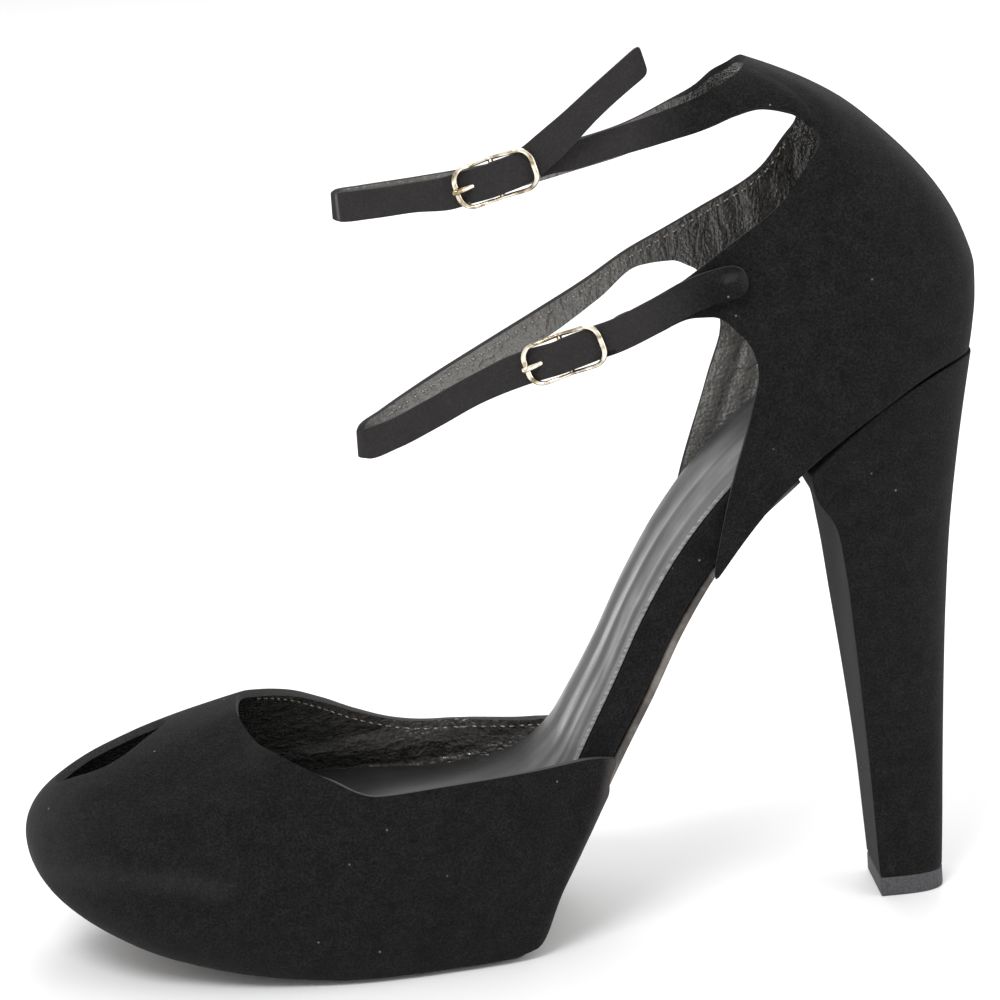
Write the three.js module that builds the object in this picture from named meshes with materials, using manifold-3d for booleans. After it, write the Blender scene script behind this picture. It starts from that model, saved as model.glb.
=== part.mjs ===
// A left platform sandal with a peep toe and two buckled ankle straps.
// Millimetres, +Z up. Toe at -X, heel at +X, outer side at -Y.
// The origin is on the floor, in the middle of the flat tread under the ball.
import * as THREE from 'three';
import { mergeVertices } from 'three/addons/utils/BufferGeometryUtils.js';
import Module from 'manifold-3d';

const wasm = await Module();
wasm.setup();

// Main sizes of the shoe.
const shoeLength = 225;
const ballWidth = 82.4;
const shoeHeight = 196.2;

// Thicknesses and clearances.
const upperWall = 1.8;
const strapThick = 1.7;
const strapWidth = 6.6;
const tailWidth = 7.4;
const upperTailWidth = 6;
const tailSlant = 1.3;
const sockThick = 1.0;
const boardThin = 2.4;
const liftHeight = 4.5;
const fitGap = 0.3;

// Peep hole in the toe.
const peepLength = 27;
const peepWidth = 19.5;

// Buckles.
const buckleLength = 19.5;
const buckleWidth = 10;
const wireWide = 1.4;
const sideWide = 0.9;
const wireDeep = 1.3;
const prongWide = 1.3;

// The tables below are drawn for a shoe of 225 x 82.4 x 196.2 mm.
const scaleX = shoeLength / 225;
const scaleY = ballWidth / 82.4;
const scaleZ = shoeHeight / 196.2;

const spot = (x, y, z) => new THREE.Vector3(x * scaleX, y * scaleY, z * scaleZ);

// Sole sections, toe to heel: footbed line f, underside line u, outer half widths of
// the upper at the footbed (outer, inner) and of the tread (treadOut, treadIn), and
// the tread's leather thickness.
const soleRows = [
  { fx: -83.4, fz: 35.4, ux: -74.0, uz: 12.9, outer: 3.5, inner: 7.5, treadOut: 1.5, treadIn: 5.5, leather: 2.3 },
  { fx: -82.4, fz: 35.2, ux: -73.4, uz: 12.6, outer: 9.0, inner: 13.0, treadOut: 6.0, treadIn: 10.0, leather: 2.3 },
  { fx: -79.0, fz: 34.5, ux: -70.8, uz: 11.5, outer: 17.2, inner: 21.0, treadOut: 12.5, treadIn: 16.5, leather: 2.3 },
  { fx: -73.4, fz: 33.5, ux: -67.0, uz: 9.8, outer: 24.2, inner: 27.6, treadOut: 18.0, treadIn: 21.6, leather: 2.3 },
  { fx: -64.5, fz: 32.1, ux: -60.0, uz: 7.0, outer: 30.0, inner: 32.4, treadOut: 23.6, treadIn: 26.8, leather: 2.3 },
  { fx: -53.5, fz: 30.6, ux: -51.0, uz: 4.5, outer: 34.6, inner: 36.2, treadOut: 28.0, treadIn: 30.4, leather: 2.3 },
  { fx: -39.5, fz: 29.1, ux: -38.5, uz: 2.3, outer: 38.0, inner: 39.0, treadOut: 31.7, treadIn: 33.4, leather: 2.3 },
  { fx: -25.0, fz: 28.2, ux: -25.0, uz: 0.8, outer: 39.4, inner: 40.2, treadOut: 33.9, treadIn: 34.8, leather: 2.3 },
  { fx: -12.0, fz: 27.8, ux: -11.0, uz: 0.0, outer: 39.4, inner: 39.8, treadOut: 34.5, treadIn: 34.9, leather: 2.3 },
  { fx: 0.0, fz: 27.7, ux: 2.0, uz: 0.0, outer: 38.6, inner: 38.4, treadOut: 33.4, treadIn: 33.2, leather: 2.3 },
  { fx: 10.0, fz: 28.2, ux: 14.0, uz: 0.0, outer: 36.8, inner: 36.0, treadOut: 31.5, treadIn: 30.8, leather: 2.3 },
  { fx: 18.0, fz: 29.6, ux: 21.0, uz: 0.0, outer: 34.6, inner: 33.4, treadOut: 29.9, treadIn: 29.0, leather: 2.3 },
  { fx: 24.5, fz: 31.8, ux: 27.4, uz: 3.7, outer: 32.2, inner: 30.8, treadOut: 27.8, treadIn: 26.8, leather: 2.3 },
  { fx: 30.0, fz: 35.2, ux: 33.8, uz: 15.0, outer: 29.9, inner: 28.6, treadOut: 25.2, treadIn: 24.4, leather: 2.2 },
  { fx: 35.3, fz: 40.4, ux: 41.0, uz: 28.3, outer: 27.4, inner: 26.4, treadOut: 22.6, treadIn: 22.0, leather: 2.2 },
  { fx: 40.0, fz: 48.0, ux: 49.6, uz: 43.4, outer: 24.9, inner: 24.4, treadOut: 20.6, treadIn: 20.2, leather: 2.1 },
  { fx: 47.0, fz: 60.3, ux: 56.6, uz: 55.2, outer: 23.3, inner: 23.0, treadOut: 19.4, treadIn: 19.2, leather: 2 },
  { fx: 55.0, fz: 75.5, ux: 64.6, uz: 70.1, outer: 22.8, inner: 22.8, treadOut: 19.0, treadIn: 19.0, leather: 2 },
  { fx: 63.0, fz: 88.2, ux: 72.2, uz: 81.8, outer: 23.0, inner: 23.2, treadOut: 19.0, treadIn: 19.2, leather: 1.8 },
  { fx: 72.5, fz: 99.9, ux: 81.0, uz: 92.5, outer: 23.8, inner: 24.0, treadOut: 19.6, treadIn: 19.8, leather: 1.5 },
  { fx: 84.5, fz: 111.2, ux: 92.6, uz: 102.6, outer: 24.4, inner: 24.5, treadOut: 20.2, treadIn: 20.2, leather: 1 },
  { fx: 98.0, fz: 120.3, ux: 103.5, uz: 112.6, outer: 24.5, inner: 24.5, treadOut: 20.4, treadIn: 20.4, leather: 0 },
  { fx: 111.0, fz: 126.9, ux: 114.5, uz: 119.9, outer: 23.4, inner: 23.4, treadOut: 19.2, treadIn: 19.2, leather: 0 },
  { fx: 121.0, fz: 130.4, ux: 123.3, uz: 123.9, outer: 20.4, inner: 20.4, treadOut: 15.2, treadIn: 15.2, leather: 0 },
  { fx: 128.4, fz: 132.0, ux: 129.4, uz: 125.8, outer: 15.4, inner: 15.4, treadOut: 9.8, treadIn: 9.8, leather: 0 },
  { fx: 131.4, fz: 132.6, ux: 131.4, uz: 126.2, outer: 10.0, inner: 10.0, treadOut: 6.2, treadIn: 6.2, leather: 0 },
  { fx: 132.5, fz: 132.8, ux: 132.2, uz: 126.4, outer: 5.0, inner: 5.0, treadOut: 3.0, treadIn: 3.0, leather: 0 },
];
const platformEnd = 13.0;
const breastRow = 20.0;

// Vamp stations, outer back corner round the toe to the inner back corner:
// bottom edge b, widest point e, topline t; then the handles of the wall's curve:
// rise above e, lean of the wall at the topline in degrees, and pull below t.
const vampRows = [
  { bx: 43.5, by: -24.9, bz: 32.6, ex: 45.4, ey: -25.5, ez: 37.4, tx: 47.0, ty: -25.2, tz: 43.6, rise: 2, lean: 4, pull: 2 },
  { bx: 33.6, by: -28.2, bz: 14.4, ex: 35.6, ey: -30.2, ez: 27.0, tx: 38.6, ty: -28.2, tz: 44.8, rise: 6, lean: 8, pull: 6 },
  { bx: 25.6, by: -31.4, bz: 2.6, ex: 26.6, ey: -33.9, ez: 21.0, tx: 28.0, ty: -32.4, tz: 44.7, rise: 9, lean: 8, pull: 9 },
  { bx: 8.0, by: -35.4, bz: 1.2, ex: 8.0, ey: -38.9, ez: 19.0, tx: 8.0, ty: -36.6, tz: 44.3, rise: 11, lean: 9, pull: 10 },
  { bx: -12.0, by: -37.3, bz: 1.3, ex: -14.0, ey: -41.2, ez: 19.0, tx: -7.0, ty: -37.8, tz: 43.7, rise: 11, lean: 14, pull: 10 },
  { bx: -30.0, by: -36.2, bz: 2.5, ex: -35.0, ey: -40.2, ez: 19.8, tx: -19.0, ty: -33.6, tz: 48.0, rise: 12, lean: 34, pull: 12 },
  { bx: -46.5, by: -32.6, bz: 4.9, ex: -55.0, ey: -36.0, ez: 21.6, tx: -28.8, ty: -26.8, tz: 52.2, rise: 12, lean: 52, pull: 15 },
  { bx: -61.5, by: -26.0, bz: 8.3, ex: -71.5, ey: -28.0, ez: 24.9, tx: -33.8, ty: -19.2, tz: 53.8, rise: 12.5, lean: 66, pull: 22 },
  { bx: -73.0, by: -15.8, bz: 12.9, ex: -83.4, ey: -15.6, ez: 28.2, tx: -37.2, ty: -8.6, tz: 57.9, rise: 12, lean: 74, pull: 28 },
  { bx: -77.8, by: 2.0, bz: 15.7, ex: -87.8, ey: 2.0, ez: 30.1, tx: -36.6, ty: 2.0, tz: 58.5, rise: 12, lean: 77, pull: 31 },
  { bx: -73.4, by: 19.6, bz: 13.3, ex: -83.8, ey: 19.6, ez: 28.4, tx: -31.6, ty: 10.4, tz: 56.9, rise: 12, lean: 75, pull: 29 },
  { bx: -62.5, by: 28.8, bz: 8.8, ex: -72.5, ey: 31.0, ez: 25.4, tx: -24.6, ty: 18.6, tz: 53.8, rise: 12.5, lean: 64, pull: 22 },
  { bx: -48.0, by: 34.4, bz: 5.2, ex: -56.5, ey: 37.6, ez: 21.8, tx: -17.6, ty: 25.4, tz: 49.4, rise: 12, lean: 50, pull: 16 },
  { bx: -31.0, by: 37.2, bz: 2.6, ex: -36.0, ey: 41.0, ez: 19.8, tx: -9.6, ty: 31.6, tz: 44.1, rise: 11, lean: 32, pull: 11 },
  { bx: -12.0, by: 37.6, bz: 1.3, ex: -14.0, ey: 41.2, ez: 19.0, tx: 0.0, ty: 35.6, tz: 39.8, rise: 9, lean: 14, pull: 8 },
  { bx: 8.0, by: 35.0, bz: 1.2, ex: 8.0, ey: 38.2, ez: 18.6, tx: 11.0, ty: 36.0, tz: 38.5, rise: 8, lean: 8, pull: 8 },
  { bx: 25.6, by: 30.6, bz: 2.6, ex: 26.6, ey: 32.8, ez: 20.0, tx: 27.0, ty: 31.4, tz: 38.6, rise: 7, lean: 8, pull: 7 },
  { bx: 33.6, by: 27.4, bz: 14.4, ex: 35.6, ey: 29.0, ez: 25.6, tx: 36.6, ty: 27.4, tz: 39.4, rise: 5, lean: 8, pull: 5 },
  { bx: 43.5, by: 24.2, bz: 32.6, ex: 44.4, ey: 24.6, ez: 36.0, tx: 45.4, ty: 24.4, tz: 40.8, rise: 2, lean: 4, pull: 2 },
];

// Quarter lines, bottom to top. Each column of the table is one line: the counter's
// foot and three lines up its front edge (foot, low, mid, high), then the edges of
// the lower strap (under, over) and of the upper strap (below, top). The rows go
// from the back seam forwards: x, z and the distance y from the shoe's middle.
const outerRows = [
  { foot: [135.3, 0, 127.3], low: [136.2, 0, 132.2], mid: [137.1, 0, 138.6], high: [137.2, 0, 144.2], under: [135.2, 0, 152.4], over: [114.1, 0, 181.0], below: [110.8, 0, 183.9], top: [87.9, 0, 196.2] },
  { foot: [131.9, 12.1, 127.0], low: [132.6, 12.3, 131.4], mid: [133.2, 12.2, 137.8], high: [133.2, 12.0, 143.4], under: [131.4, 11.6, 151.6], over: [112.1, 7.6, 181.0], below: [109.0, 6.8, 184.1], top: [87.7, 2.6, 196.1] },
  { foot: [122.5, 19.9, 124.4], low: [123.0, 20.4, 129.4], mid: [123.2, 20.4, 136.0], high: [123.0, 20.2, 142.0], under: [121.8, 19.4, 150.0], over: [107.8, 13.6, 181.1], below: [105.6, 12.4, 184.2], top: [87.2, 5.2, 195.9] },
  { foot: [104.5, 24.4, 114.3], low: [105.6, 25.0, 122.0], mid: [106.4, 25.0, 131.0], high: [106.0, 24.8, 138.8], under: [105.0, 24.2, 147.6], over: [101.7, 18.8, 178.4], below: [100.6, 16.6, 183.4], top: [86.4, 7.8, 195.5] },
  { foot: [86.9, 24.6, 100.3], low: [92.0, 25.2, 112.4], mid: [94.6, 25.4, 126.4], high: [95.0, 25.2, 136.6], under: [90.6, 24.4, 145.6], over: [91.4, 20.8, 166.2], below: [95.8, 17.8, 185.7], top: [85.0, 10.2, 194.7] },
  { foot: [71.0, 23.4, 80.9], low: [76.4, 24.4, 103.2], mid: [82.0, 25.2, 121.0], high: [84.7, 25.0, 133.4], under: [77.2, 23.2, 142.4], over: [77.9, 21.8, 157.0], below: [88.6, 17.8, 187.5], top: [82.0, 12.6, 193.2] },
];
const outerLowerStrap = [
  { under: [70.6, 21.8, 142.3], over: [69.6, 21.2, 151.2] },
  { under: [63.2, 20.6, 139.7], over: [61.3, 20.2, 145.9] },
  { under: [56.4, 18.5, 137.4], over: [54.5, 18.1, 143.6] },
];
const outerUpperStrap = [
  { below: [82.4, 17.8, 186.0], top: [78.4, 14.4, 191.7] },
  { below: [76.8, 17.4, 183.7], top: [74.6, 15.6, 190.3] },
  { below: [65.6, 16.0, 180.6], top: [64.0, 15.2, 186.9] },
  { below: [55.6, 14.4, 178.2], top: [53.8, 14.0, 184.1] },
  { below: [46.4, 13.0, 175.9], top: [44.7, 12.7, 181.8] },
];
const innerRows = [
  outerRows[0],
  outerRows[1],
  outerRows[2],
  { foot: [104.5, 24.4, 114.3], low: [105.0, 25.0, 121.6], mid: [105.4, 25.0, 130.4], high: [104.8, 24.6, 138.0], under: [103.6, 23.8, 148.0], over: [101.7, 18.0, 178.2], below: [100.4, 15.8, 183.0], top: [86.3, 7.6, 195.2] },
  { foot: [84.0, 24.7, 95.6], low: [88.4, 25.2, 108.6], mid: [91.8, 25.2, 123.6], high: [92.4, 24.8, 134.6], under: [90.2, 23.8, 147.4], over: [91.4, 20.8, 166.6], below: [95.4, 16.8, 184.9], top: [84.7, 9.6, 193.9] },
  { foot: [62.6, 23.0, 67.2], low: [70.2, 23.8, 97.6], mid: [77.8, 24.4, 119.0], high: [82.0, 24.2, 133.0], under: [77.4, 22.8, 145.0], over: [77.4, 22.2, 158.8], below: [88.0, 16.8, 186.4], top: [81.4, 12.0, 191.9] },
];
const innerLowerStrap = [
  { under: [70.6, 22.2, 147.4], over: [69.0, 22.0, 154.7] },
  { under: [64.0, 21.4, 147.3], over: [61.4, 21.0, 151.0] },
];
const innerUpperStrap = [
  { below: [82.0, 16.8, 184.4], top: [77.8, 13.6, 188.8] },
  { below: [76.0, 16.2, 180.8], top: [73.2, 14.4, 185.6] },
];

// Loose straps: points of the middle line with y of its outer face, and the width,
// from the inner side round the front to the buckle, and from the buckle to the tip.
const lowerStrapRound = [
  { x: 61.6, y: 20.6, z: 149.0, wide: 4.6 },
  { x: 52.0, y: 19.0, z: 143.1, wide: 5.4 },
  { x: 40.0, y: 16.4, z: 136.6, wide: strapWidth },
  { x: 26.0, y: 12.6, z: 130.2, wide: strapWidth },
  { x: 12.0, y: 8.4, z: 123.7, wide: strapWidth },
  { x: 2.0, y: 5.2, z: 118.6, wide: strapWidth },
  { x: -3.6, y: 2.6, z: 115.9, wide: strapWidth },
  { x: -5.0, y: 0.0, z: 115.2, wide: strapWidth },
  { x: -3.4, y: -2.8, z: 115.6, wide: strapWidth },
  { x: 3.0, y: -5.2, z: 117.9, wide: strapWidth },
  { x: 12.0, y: -7.6, z: 122.4, wide: strapWidth },
  { x: 22.0, y: -10.6, z: 127.8, wide: strapWidth },
];
const lowerStrapTail = [
  { x: 62.0, y: -22.6, z: 143.6, wide: tailWidth },
  { x: 71.6, y: -24.6, z: 148.4, wide: tailWidth },
  { x: 82.4, y: -25.8, z: 150.9, wide: tailWidth },
];
const upperStrapRound = [
  { x: 72.8, y: 14.9, z: 182.5, wide: strapWidth },
  { x: 62.0, y: 13.6, z: 178.2, wide: strapWidth },
  { x: 48.0, y: 11.6, z: 175.1, wide: strapWidth },
  { x: 32.0, y: 9.2, z: 172.2, wide: strapWidth },
  { x: 14.0, y: 6.6, z: 170.8, wide: strapWidth },
  { x: 0.0, y: 4.6, z: 170.1, wide: strapWidth },
  { x: -5.4, y: 2.4, z: 170.0, wide: strapWidth },
  { x: -6.6, y: 0.0, z: 170.0, wide: strapWidth },
  { x: -5.0, y: -2.6, z: 170.0, wide: strapWidth },
  { x: 2.0, y: -4.6, z: 170.5, wide: strapWidth },
  { x: 11.0, y: -6.8, z: 171.5, wide: strapWidth },
];
const upperStrapTail = [
  { x: 45.3, y: -16.0, z: 185.3, wide: strapWidth },
  { x: 53.2, y: -17.4, z: 192.1, wide: upperTailWidth },
  { x: 62.3, y: -18.6, z: 199.2, wide: upperTailWidth },
];

// The heel stands on its lift.
const heelFoot = (liftHeight + fitGap) / scaleZ;

// Heel sections, seat to tip: height at the breast and at the back, x of both, half
// width, how much the section bows with the seat, and how square its corners are.
const heelRows = [
  { zFront: 103.6, zBack: 126.6, front: 94.6, back: 135.2, half: 24.3, bow: 1.0, square: 2.4 },
  { zFront: 99.0, zBack: 117.6, front: 95.4, back: 133.5, half: 24.0, bow: 0.8, square: 2.4 },
  { zFront: 92.0, zBack: 104.0, front: 99.6, back: 131.0, half: 23.0, bow: 0.45, square: 2.5 },
  { zFront: 82.5, zBack: 89.0, front: 101.4, back: 128.7, half: 22.0, bow: 0.15, square: 2.6 },
  { zFront: 66.0, zBack: 69.0, front: 103.1, back: 126.7, half: 19.4, bow: 0.0, square: 2.8 },
  { zFront: 47.5, zBack: 48.5, front: 104.8, back: 125.4, half: 15.2, bow: 0.0, square: 3.0 },
  { zFront: 28.6, zBack: 28.6, front: 106.3, back: 124.4, half: 12.0, bow: 0.0, square: 3.2 },
  { zFront: 12.0, zBack: 12.0, front: 107.2, back: 123.6, half: 10.6, bow: 0.0, square: 3.4 },
  { zFront: heelFoot, zBack: heelFoot, front: 107.6, back: 123.2, half: 10.2, bow: 0.0, square: 3.4 },
];

// Smooth curve through a list of number rows: t counts rows, knots follow distance.
function curveThrough(rows) {
  const last = rows.length - 1;
  const knots = [0];
  for (let k = 1; k <= last; k += 1) {
    const step = Math.hypot(...rows[k].map((value, c) => value - rows[k - 1][c]));
    knots.push(knots[k - 1] + Math.max(step, 1e-3));
  }
  const chord = (k, c) => (rows[k + 1][c] - rows[k][c]) / (knots[k + 1] - knots[k]);
  const tangent = (k, c) => {
    if (last === 1) return chord(0, c);
    if (k === 0) return chord(0, c) * 1.5 - tangent(1, c) * 0.5;
    if (k === last) return chord(last - 1, c) * 1.5 - tangent(last - 1, c) * 0.5;
    const [back, ahead] = [chord(k - 1, c), chord(k, c)];
    if (back * ahead <= 0) return 0;
    const before = knots[k] - knots[k - 1];
    const after = knots[k + 1] - knots[k];
    const even = (back * after + ahead * before) / (before + after);
    return Math.sign(even) * Math.min(Math.abs(even), 3 * Math.min(Math.abs(back), Math.abs(ahead)));
  };
  return (t) => {
    const k = Math.min(Math.max(Math.floor(t), 0), last - 1);
    const span = knots[k + 1] - knots[k];
    const u = t - k;
    return rows[k].map((value, c) => {
      const next = rows[k + 1][c];
      const rise = (next - value) * u * u * (3 - 2 * u);
      const bend = tangent(k, c) * u * (1 - u) * (1 - u) - tangent(k + 1, c) * u * u * (1 - u);
      return value + rise + span * bend;
    });
  };
}

// The same for rows with named columns.
function namedCurve(rows) {
  const names = Object.keys(rows[0]);
  const curve = curveThrough(rows.map((row) => names.map((name) => row[name])));
  return (t) => {
    const values = curve(t);
    return Object.fromEntries(names.map((name, k) => [name, values[k]]));
  };
}

const range = (count) => Array.from({ length: count }, (_, k) => k);
const spread = (from, to, count) => range(count + 1).map((k) => from + ((to - from) * k) / count);

// A closed geometry from points and triangles, turned so that its faces look outwards.
function solidFrom(points, triangles) {
  let volume = 0;
  const cross = new THREE.Vector3();
  triangles.forEach(([a, b, c]) => {
    volume += points[a].dot(cross.crossVectors(points[b], points[c]));
  });
  const index = [];
  triangles.forEach(([a, b, c]) => index.push(a, volume > 0 ? b : c, volume > 0 ? c : b));
  const geometry = new THREE.BufferGeometry();
  geometry.setAttribute('position', new THREE.Float32BufferAttribute(points.flatMap((p) => p.toArray()), 3));
  geometry.setIndex(index);
  return geometry;
}

// Stacked rings of the same count, closed by strips across from one side to the other.
function ringSolid(rings) {
  const count = rings[0].length;
  const points = rings.flat();
  const triangles = [];
  const quad = (a, b, c, d) => triangles.push([a, b, c], [a, c, d]);
  for (let r = 0; r + 1 < rings.length; r += 1) {
    for (let k = 0; k < count; k += 1) {
      const next = (k + 1) % count;
      quad(r * count + k, r * count + next, (r + 1) * count + next, (r + 1) * count + k);
    }
  }
  const top = (rings.length - 1) * count;
  for (let k = 0; k < Math.floor((count - 1) / 2); k += 1) {
    const far = count - 1 - k;
    if (k + 1 === far - 1) {
      triangles.push([k, far, k + 1], [top + k, top + k + 1, top + far]);
    } else {
      quad(k, far, far - 1, k + 1);
      quad(top + k, top + k + 1, top + far - 1, top + far);
    }
  }
  return solidFrom(points, triangles);
}

// Unit normals of a grid of points.
function gridNormals(grid) {
  return grid.map((column, i) => column.map((_, j) => {
    const before = grid[Math.max(i - 1, 0)][j];
    const after = grid[Math.min(i + 1, grid.length - 1)][j];
    const lower = column[Math.max(j - 1, 0)];
    const upper = column[Math.min(j + 1, column.length - 1)];
    const along = after.clone().sub(before);
    return along.cross(upper.clone().sub(lower)).normalize();
  }));
}

// A wall of even thickness behind a grid; faces that keep() refuses are left open.
function wallSolid(grid, thickness, keep) {
  const rows = grid[0].length;
  const normals = gridNormals(grid);
  const outer = grid.flat();
  const inner = grid.flatMap((column, i) => column.map((point, j) => (
    point.clone().addScaledVector(normals[i][j], -thickness))));
  const points = outer.concat(inner);
  const shift = outer.length;
  const id = (i, j) => i * rows + j;
  const kept = (i, j) => i >= 0 && j >= 0 && i < grid.length - 1 && j < rows - 1 && keep(i, j);
  const triangles = [];
  const quad = (a, b, c, d) => triangles.push([a, b, c], [a, c, d]);
  for (let i = 0; i < grid.length - 1; i += 1) {
    for (let j = 0; j < rows - 1; j += 1) {
      if (!kept(i, j)) continue;
      const [a, b, c, d] = [id(i, j), id(i + 1, j), id(i + 1, j + 1), id(i, j + 1)];
      quad(a, b, c, d);
      quad(d + shift, c + shift, b + shift, a + shift);
      if (!kept(i, j - 1)) quad(a, a + shift, b + shift, b);
      if (!kept(i + 1, j)) quad(b, b + shift, c + shift, c);
      if (!kept(i, j + 1)) quad(c, c + shift, d + shift, d);
      if (!kept(i - 1, j)) quad(d, d + shift, a + shift, a);
    }
  }
  const used = new Map();
  triangles.flat().forEach((old) => { if (!used.has(old)) used.set(old, used.size); });
  const tidy = [...used.keys()].map((old) => points[old]);
  return solidFrom(tidy, triangles.map((corner) => corner.map((old) => used.get(old))));
}

// A band swept along a line of points with outer-face directions: a rectangle with
// eased corners, widths across and thickness inwards from the line.
function bandSolid(line, faces, widths, thickness, slant) {
  const ease = thickness * 0.25;
  const section = (half) => [
    [ease - half, 0], [half - ease, 0], [half, -ease], [half, ease - thickness],
    [half - ease, -thickness], [ease - half, -thickness], [-half, ease - thickness], [-half, -ease],
  ];
  const rings = line.map((point, k) => {
    const tangent = line[Math.min(k + 1, line.length - 1)].clone().sub(line[Math.max(k - 1, 0)]).normalize();
    const out = faces[k].clone().addScaledVector(tangent, -faces[k].dot(tangent)).normalize();
    const side = new THREE.Vector3().crossVectors(tangent, out);
    const lean = k === line.length - 1 ? -slant / (widths[k] / 2) : 0;
    return section(widths[k] / 2).map(([a, b]) => point.clone()
      .addScaledVector(side, a).addScaledVector(out, b).addScaledVector(tangent, a * lean));
  });
  return tubeSolid(rings);
}

// Rings joined in a row, each end closed by a fan.
function tubeSolid(rings) {
  const count = rings[0].length;
  const points = rings.flat();
  const triangles = [];
  for (let r = 0; r + 1 < rings.length; r += 1) {
    for (let k = 0; k < count; k += 1) {
      const next = (k + 1) % count;
      const [a, b, c, d] = [r * count + k, r * count + next, (r + 1) * count + next, (r + 1) * count + k];
      triangles.push([a, b, c], [a, c, d]);
    }
  }
  const last = (rings.length - 1) * count;
  for (let k = 1; k + 1 < count; k += 1) {
    triangles.push([0, k + 1, k], [last, last + k, last + k + 1]);
  }
  return solidFrom(points, triangles);
}

function toManifold(geometry) {
  const merged = mergeVertices(geometry, 1e-5);
  const vertProperties = new Float32Array(merged.attributes.position.array);
  const triVerts = new Uint32Array(merged.index.array);
  return new wasm.Manifold(new wasm.Mesh({ numProp: 3, vertProperties, triVerts }));
}

function fromManifold(solid) {
  const mesh = solid.getMesh();
  const geometry = new THREE.BufferGeometry();
  geometry.setAttribute('position', new THREE.BufferAttribute(new Float32Array(mesh.vertProperties), 3));
  geometry.setIndex(new THREE.BufferAttribute(new Uint32Array(mesh.triVerts), 1));
  return geometry;
}

const soleAt = namedCurve(soleRows);

// One station of the sole: its points on the footbed and underside lines, and the
// unit direction from the underside up to the footbed.
function soleStation(t) {
  const row = soleAt(t);
  const top = spot(row.fx, 0, row.fz);
  const under = spot(row.ux, 0, row.uz);
  const up = top.clone().sub(under).normalize();
  return { row, top, under, up };
}

// Stations round the sole's edge: forwards along the outer side, back along the inner.
function soleRing(stations, pointAt, outerName, innerName, inset) {
  const side = (t, name, sign) => {
    const station = soleStation(t);
    const point = pointAt(station);
    point.y = sign * Math.max(station.row[name] * scaleY - inset, 0.8 * scaleY);
    return point;
  };
  const outer = [...stations].reverse().map((t) => side(t, outerName, -1));
  const inner = stations.map((t) => side(t, innerName, 1));
  const middle = (inner[0].y + outer[outer.length - 1].y) / 2;
  const tip = inner[0].clone().setY(middle);
  return [...outer, tip, ...inner];
}

const stations = (from, to, perRow) => spread(from, to, Math.round((to - from) * perRow));
const liner = upperWall + fitGap;

function buildOutsole() {
  const along = stations(0, breastRow, 2);
  const underside = ({ under }) => under.clone();
  const upside = ({ under, up, row }) => under.clone().addScaledVector(up, row.leather);
  return ringSolid([
    soleRing(along, underside, 'treadOut', 'treadIn', 0),
    soleRing(along, upside, 'treadOut', 'treadIn', 0),
  ]);
}

function buildPlatform() {
  const along = stations(0, platformEnd, 2);
  const bottom = ({ under, up, row }) => under.clone().addScaledVector(up, row.leather + fitGap);
  const top = ({ top: high, up }) => high.clone().addScaledVector(up, -(sockThick + boardThin + 3 * fitGap));
  const middle = (station) => bottom(station).lerp(top(station), 0.55);
  return ringSolid([
    soleRing(along, bottom, 'treadOut', 'treadIn', -0.6),
    soleRing(along, middle, 'outer', 'inner', liner + 0.4),
    soleRing(along, top, 'outer', 'inner', liner + 0.4),
  ]);
}

function buildBoard() {
  const step = 0.05;
  const front = stations(0, platformEnd, 2);
  const rear = stations(platformEnd + 1, soleRows.length - 1, 2);
  const along = [...front, platformEnd + 0.5, ...rear];
  const isThin = ({ row }) => row.ux < soleAt(platformEnd).ux + step;
  const top = ({ top: high, up }) => high.clone().addScaledVector(up, -(sockThick + fitGap));
  const bottom = (station) => {
    if (isThin(station)) return top(station).addScaledVector(station.up, -boardThin);
    return station.under.clone().addScaledVector(station.up, station.row.leather + fitGap);
  };
  const lower = soleRing(along, bottom, 'treadOut', 'treadIn', -1.2);
  const upper = soleRing(along, top, 'outer', 'inner', liner + 0.2);
  return ringSolid([lower, upper]);
}

function buildInsole() {
  const along = stations(0, soleRows.length - 1, 2);
  const bottom = ({ top: high, up }) => high.clone().addScaledVector(up, -sockThick);
  const top = ({ top: high }) => high.clone();
  return ringSolid([
    soleRing(along, bottom, 'outer', 'inner', liner + 1.2),
    soleRing(along, top, 'outer', 'inner', liner + 1.4),
  ]);
}

// One upright line of the vamp's wall, bottom edge to topline.
function vampColumn(row, low, high) {
  const bottom = spot(row.bx, row.by, row.bz);
  const wide = spot(row.ex, row.ey, row.ez);
  const top = spot(row.tx, row.ty, row.tz);
  const outwards = wide.clone().sub(top).setZ(0).normalize();
  const lean = THREE.MathUtils.degToRad(row.lean);
  const handle = top.clone().addScaledVector(outwards, Math.sin(lean) * row.pull);
  handle.z -= Math.cos(lean) * row.pull * scaleZ;
  const above = wide.clone().setZ(wide.z + row.rise * scaleZ);
  const below = wide.clone().setZ(wide.z - 0.65 * (wide.z - bottom.z));
  const side = new THREE.QuadraticBezierCurve3(bottom, below, wide).getPoints(low);
  const over = new THREE.CubicBezierCurve3(wide, above, handle, top).getPoints(high);
  return [...side, ...over.slice(1)];
}

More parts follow.
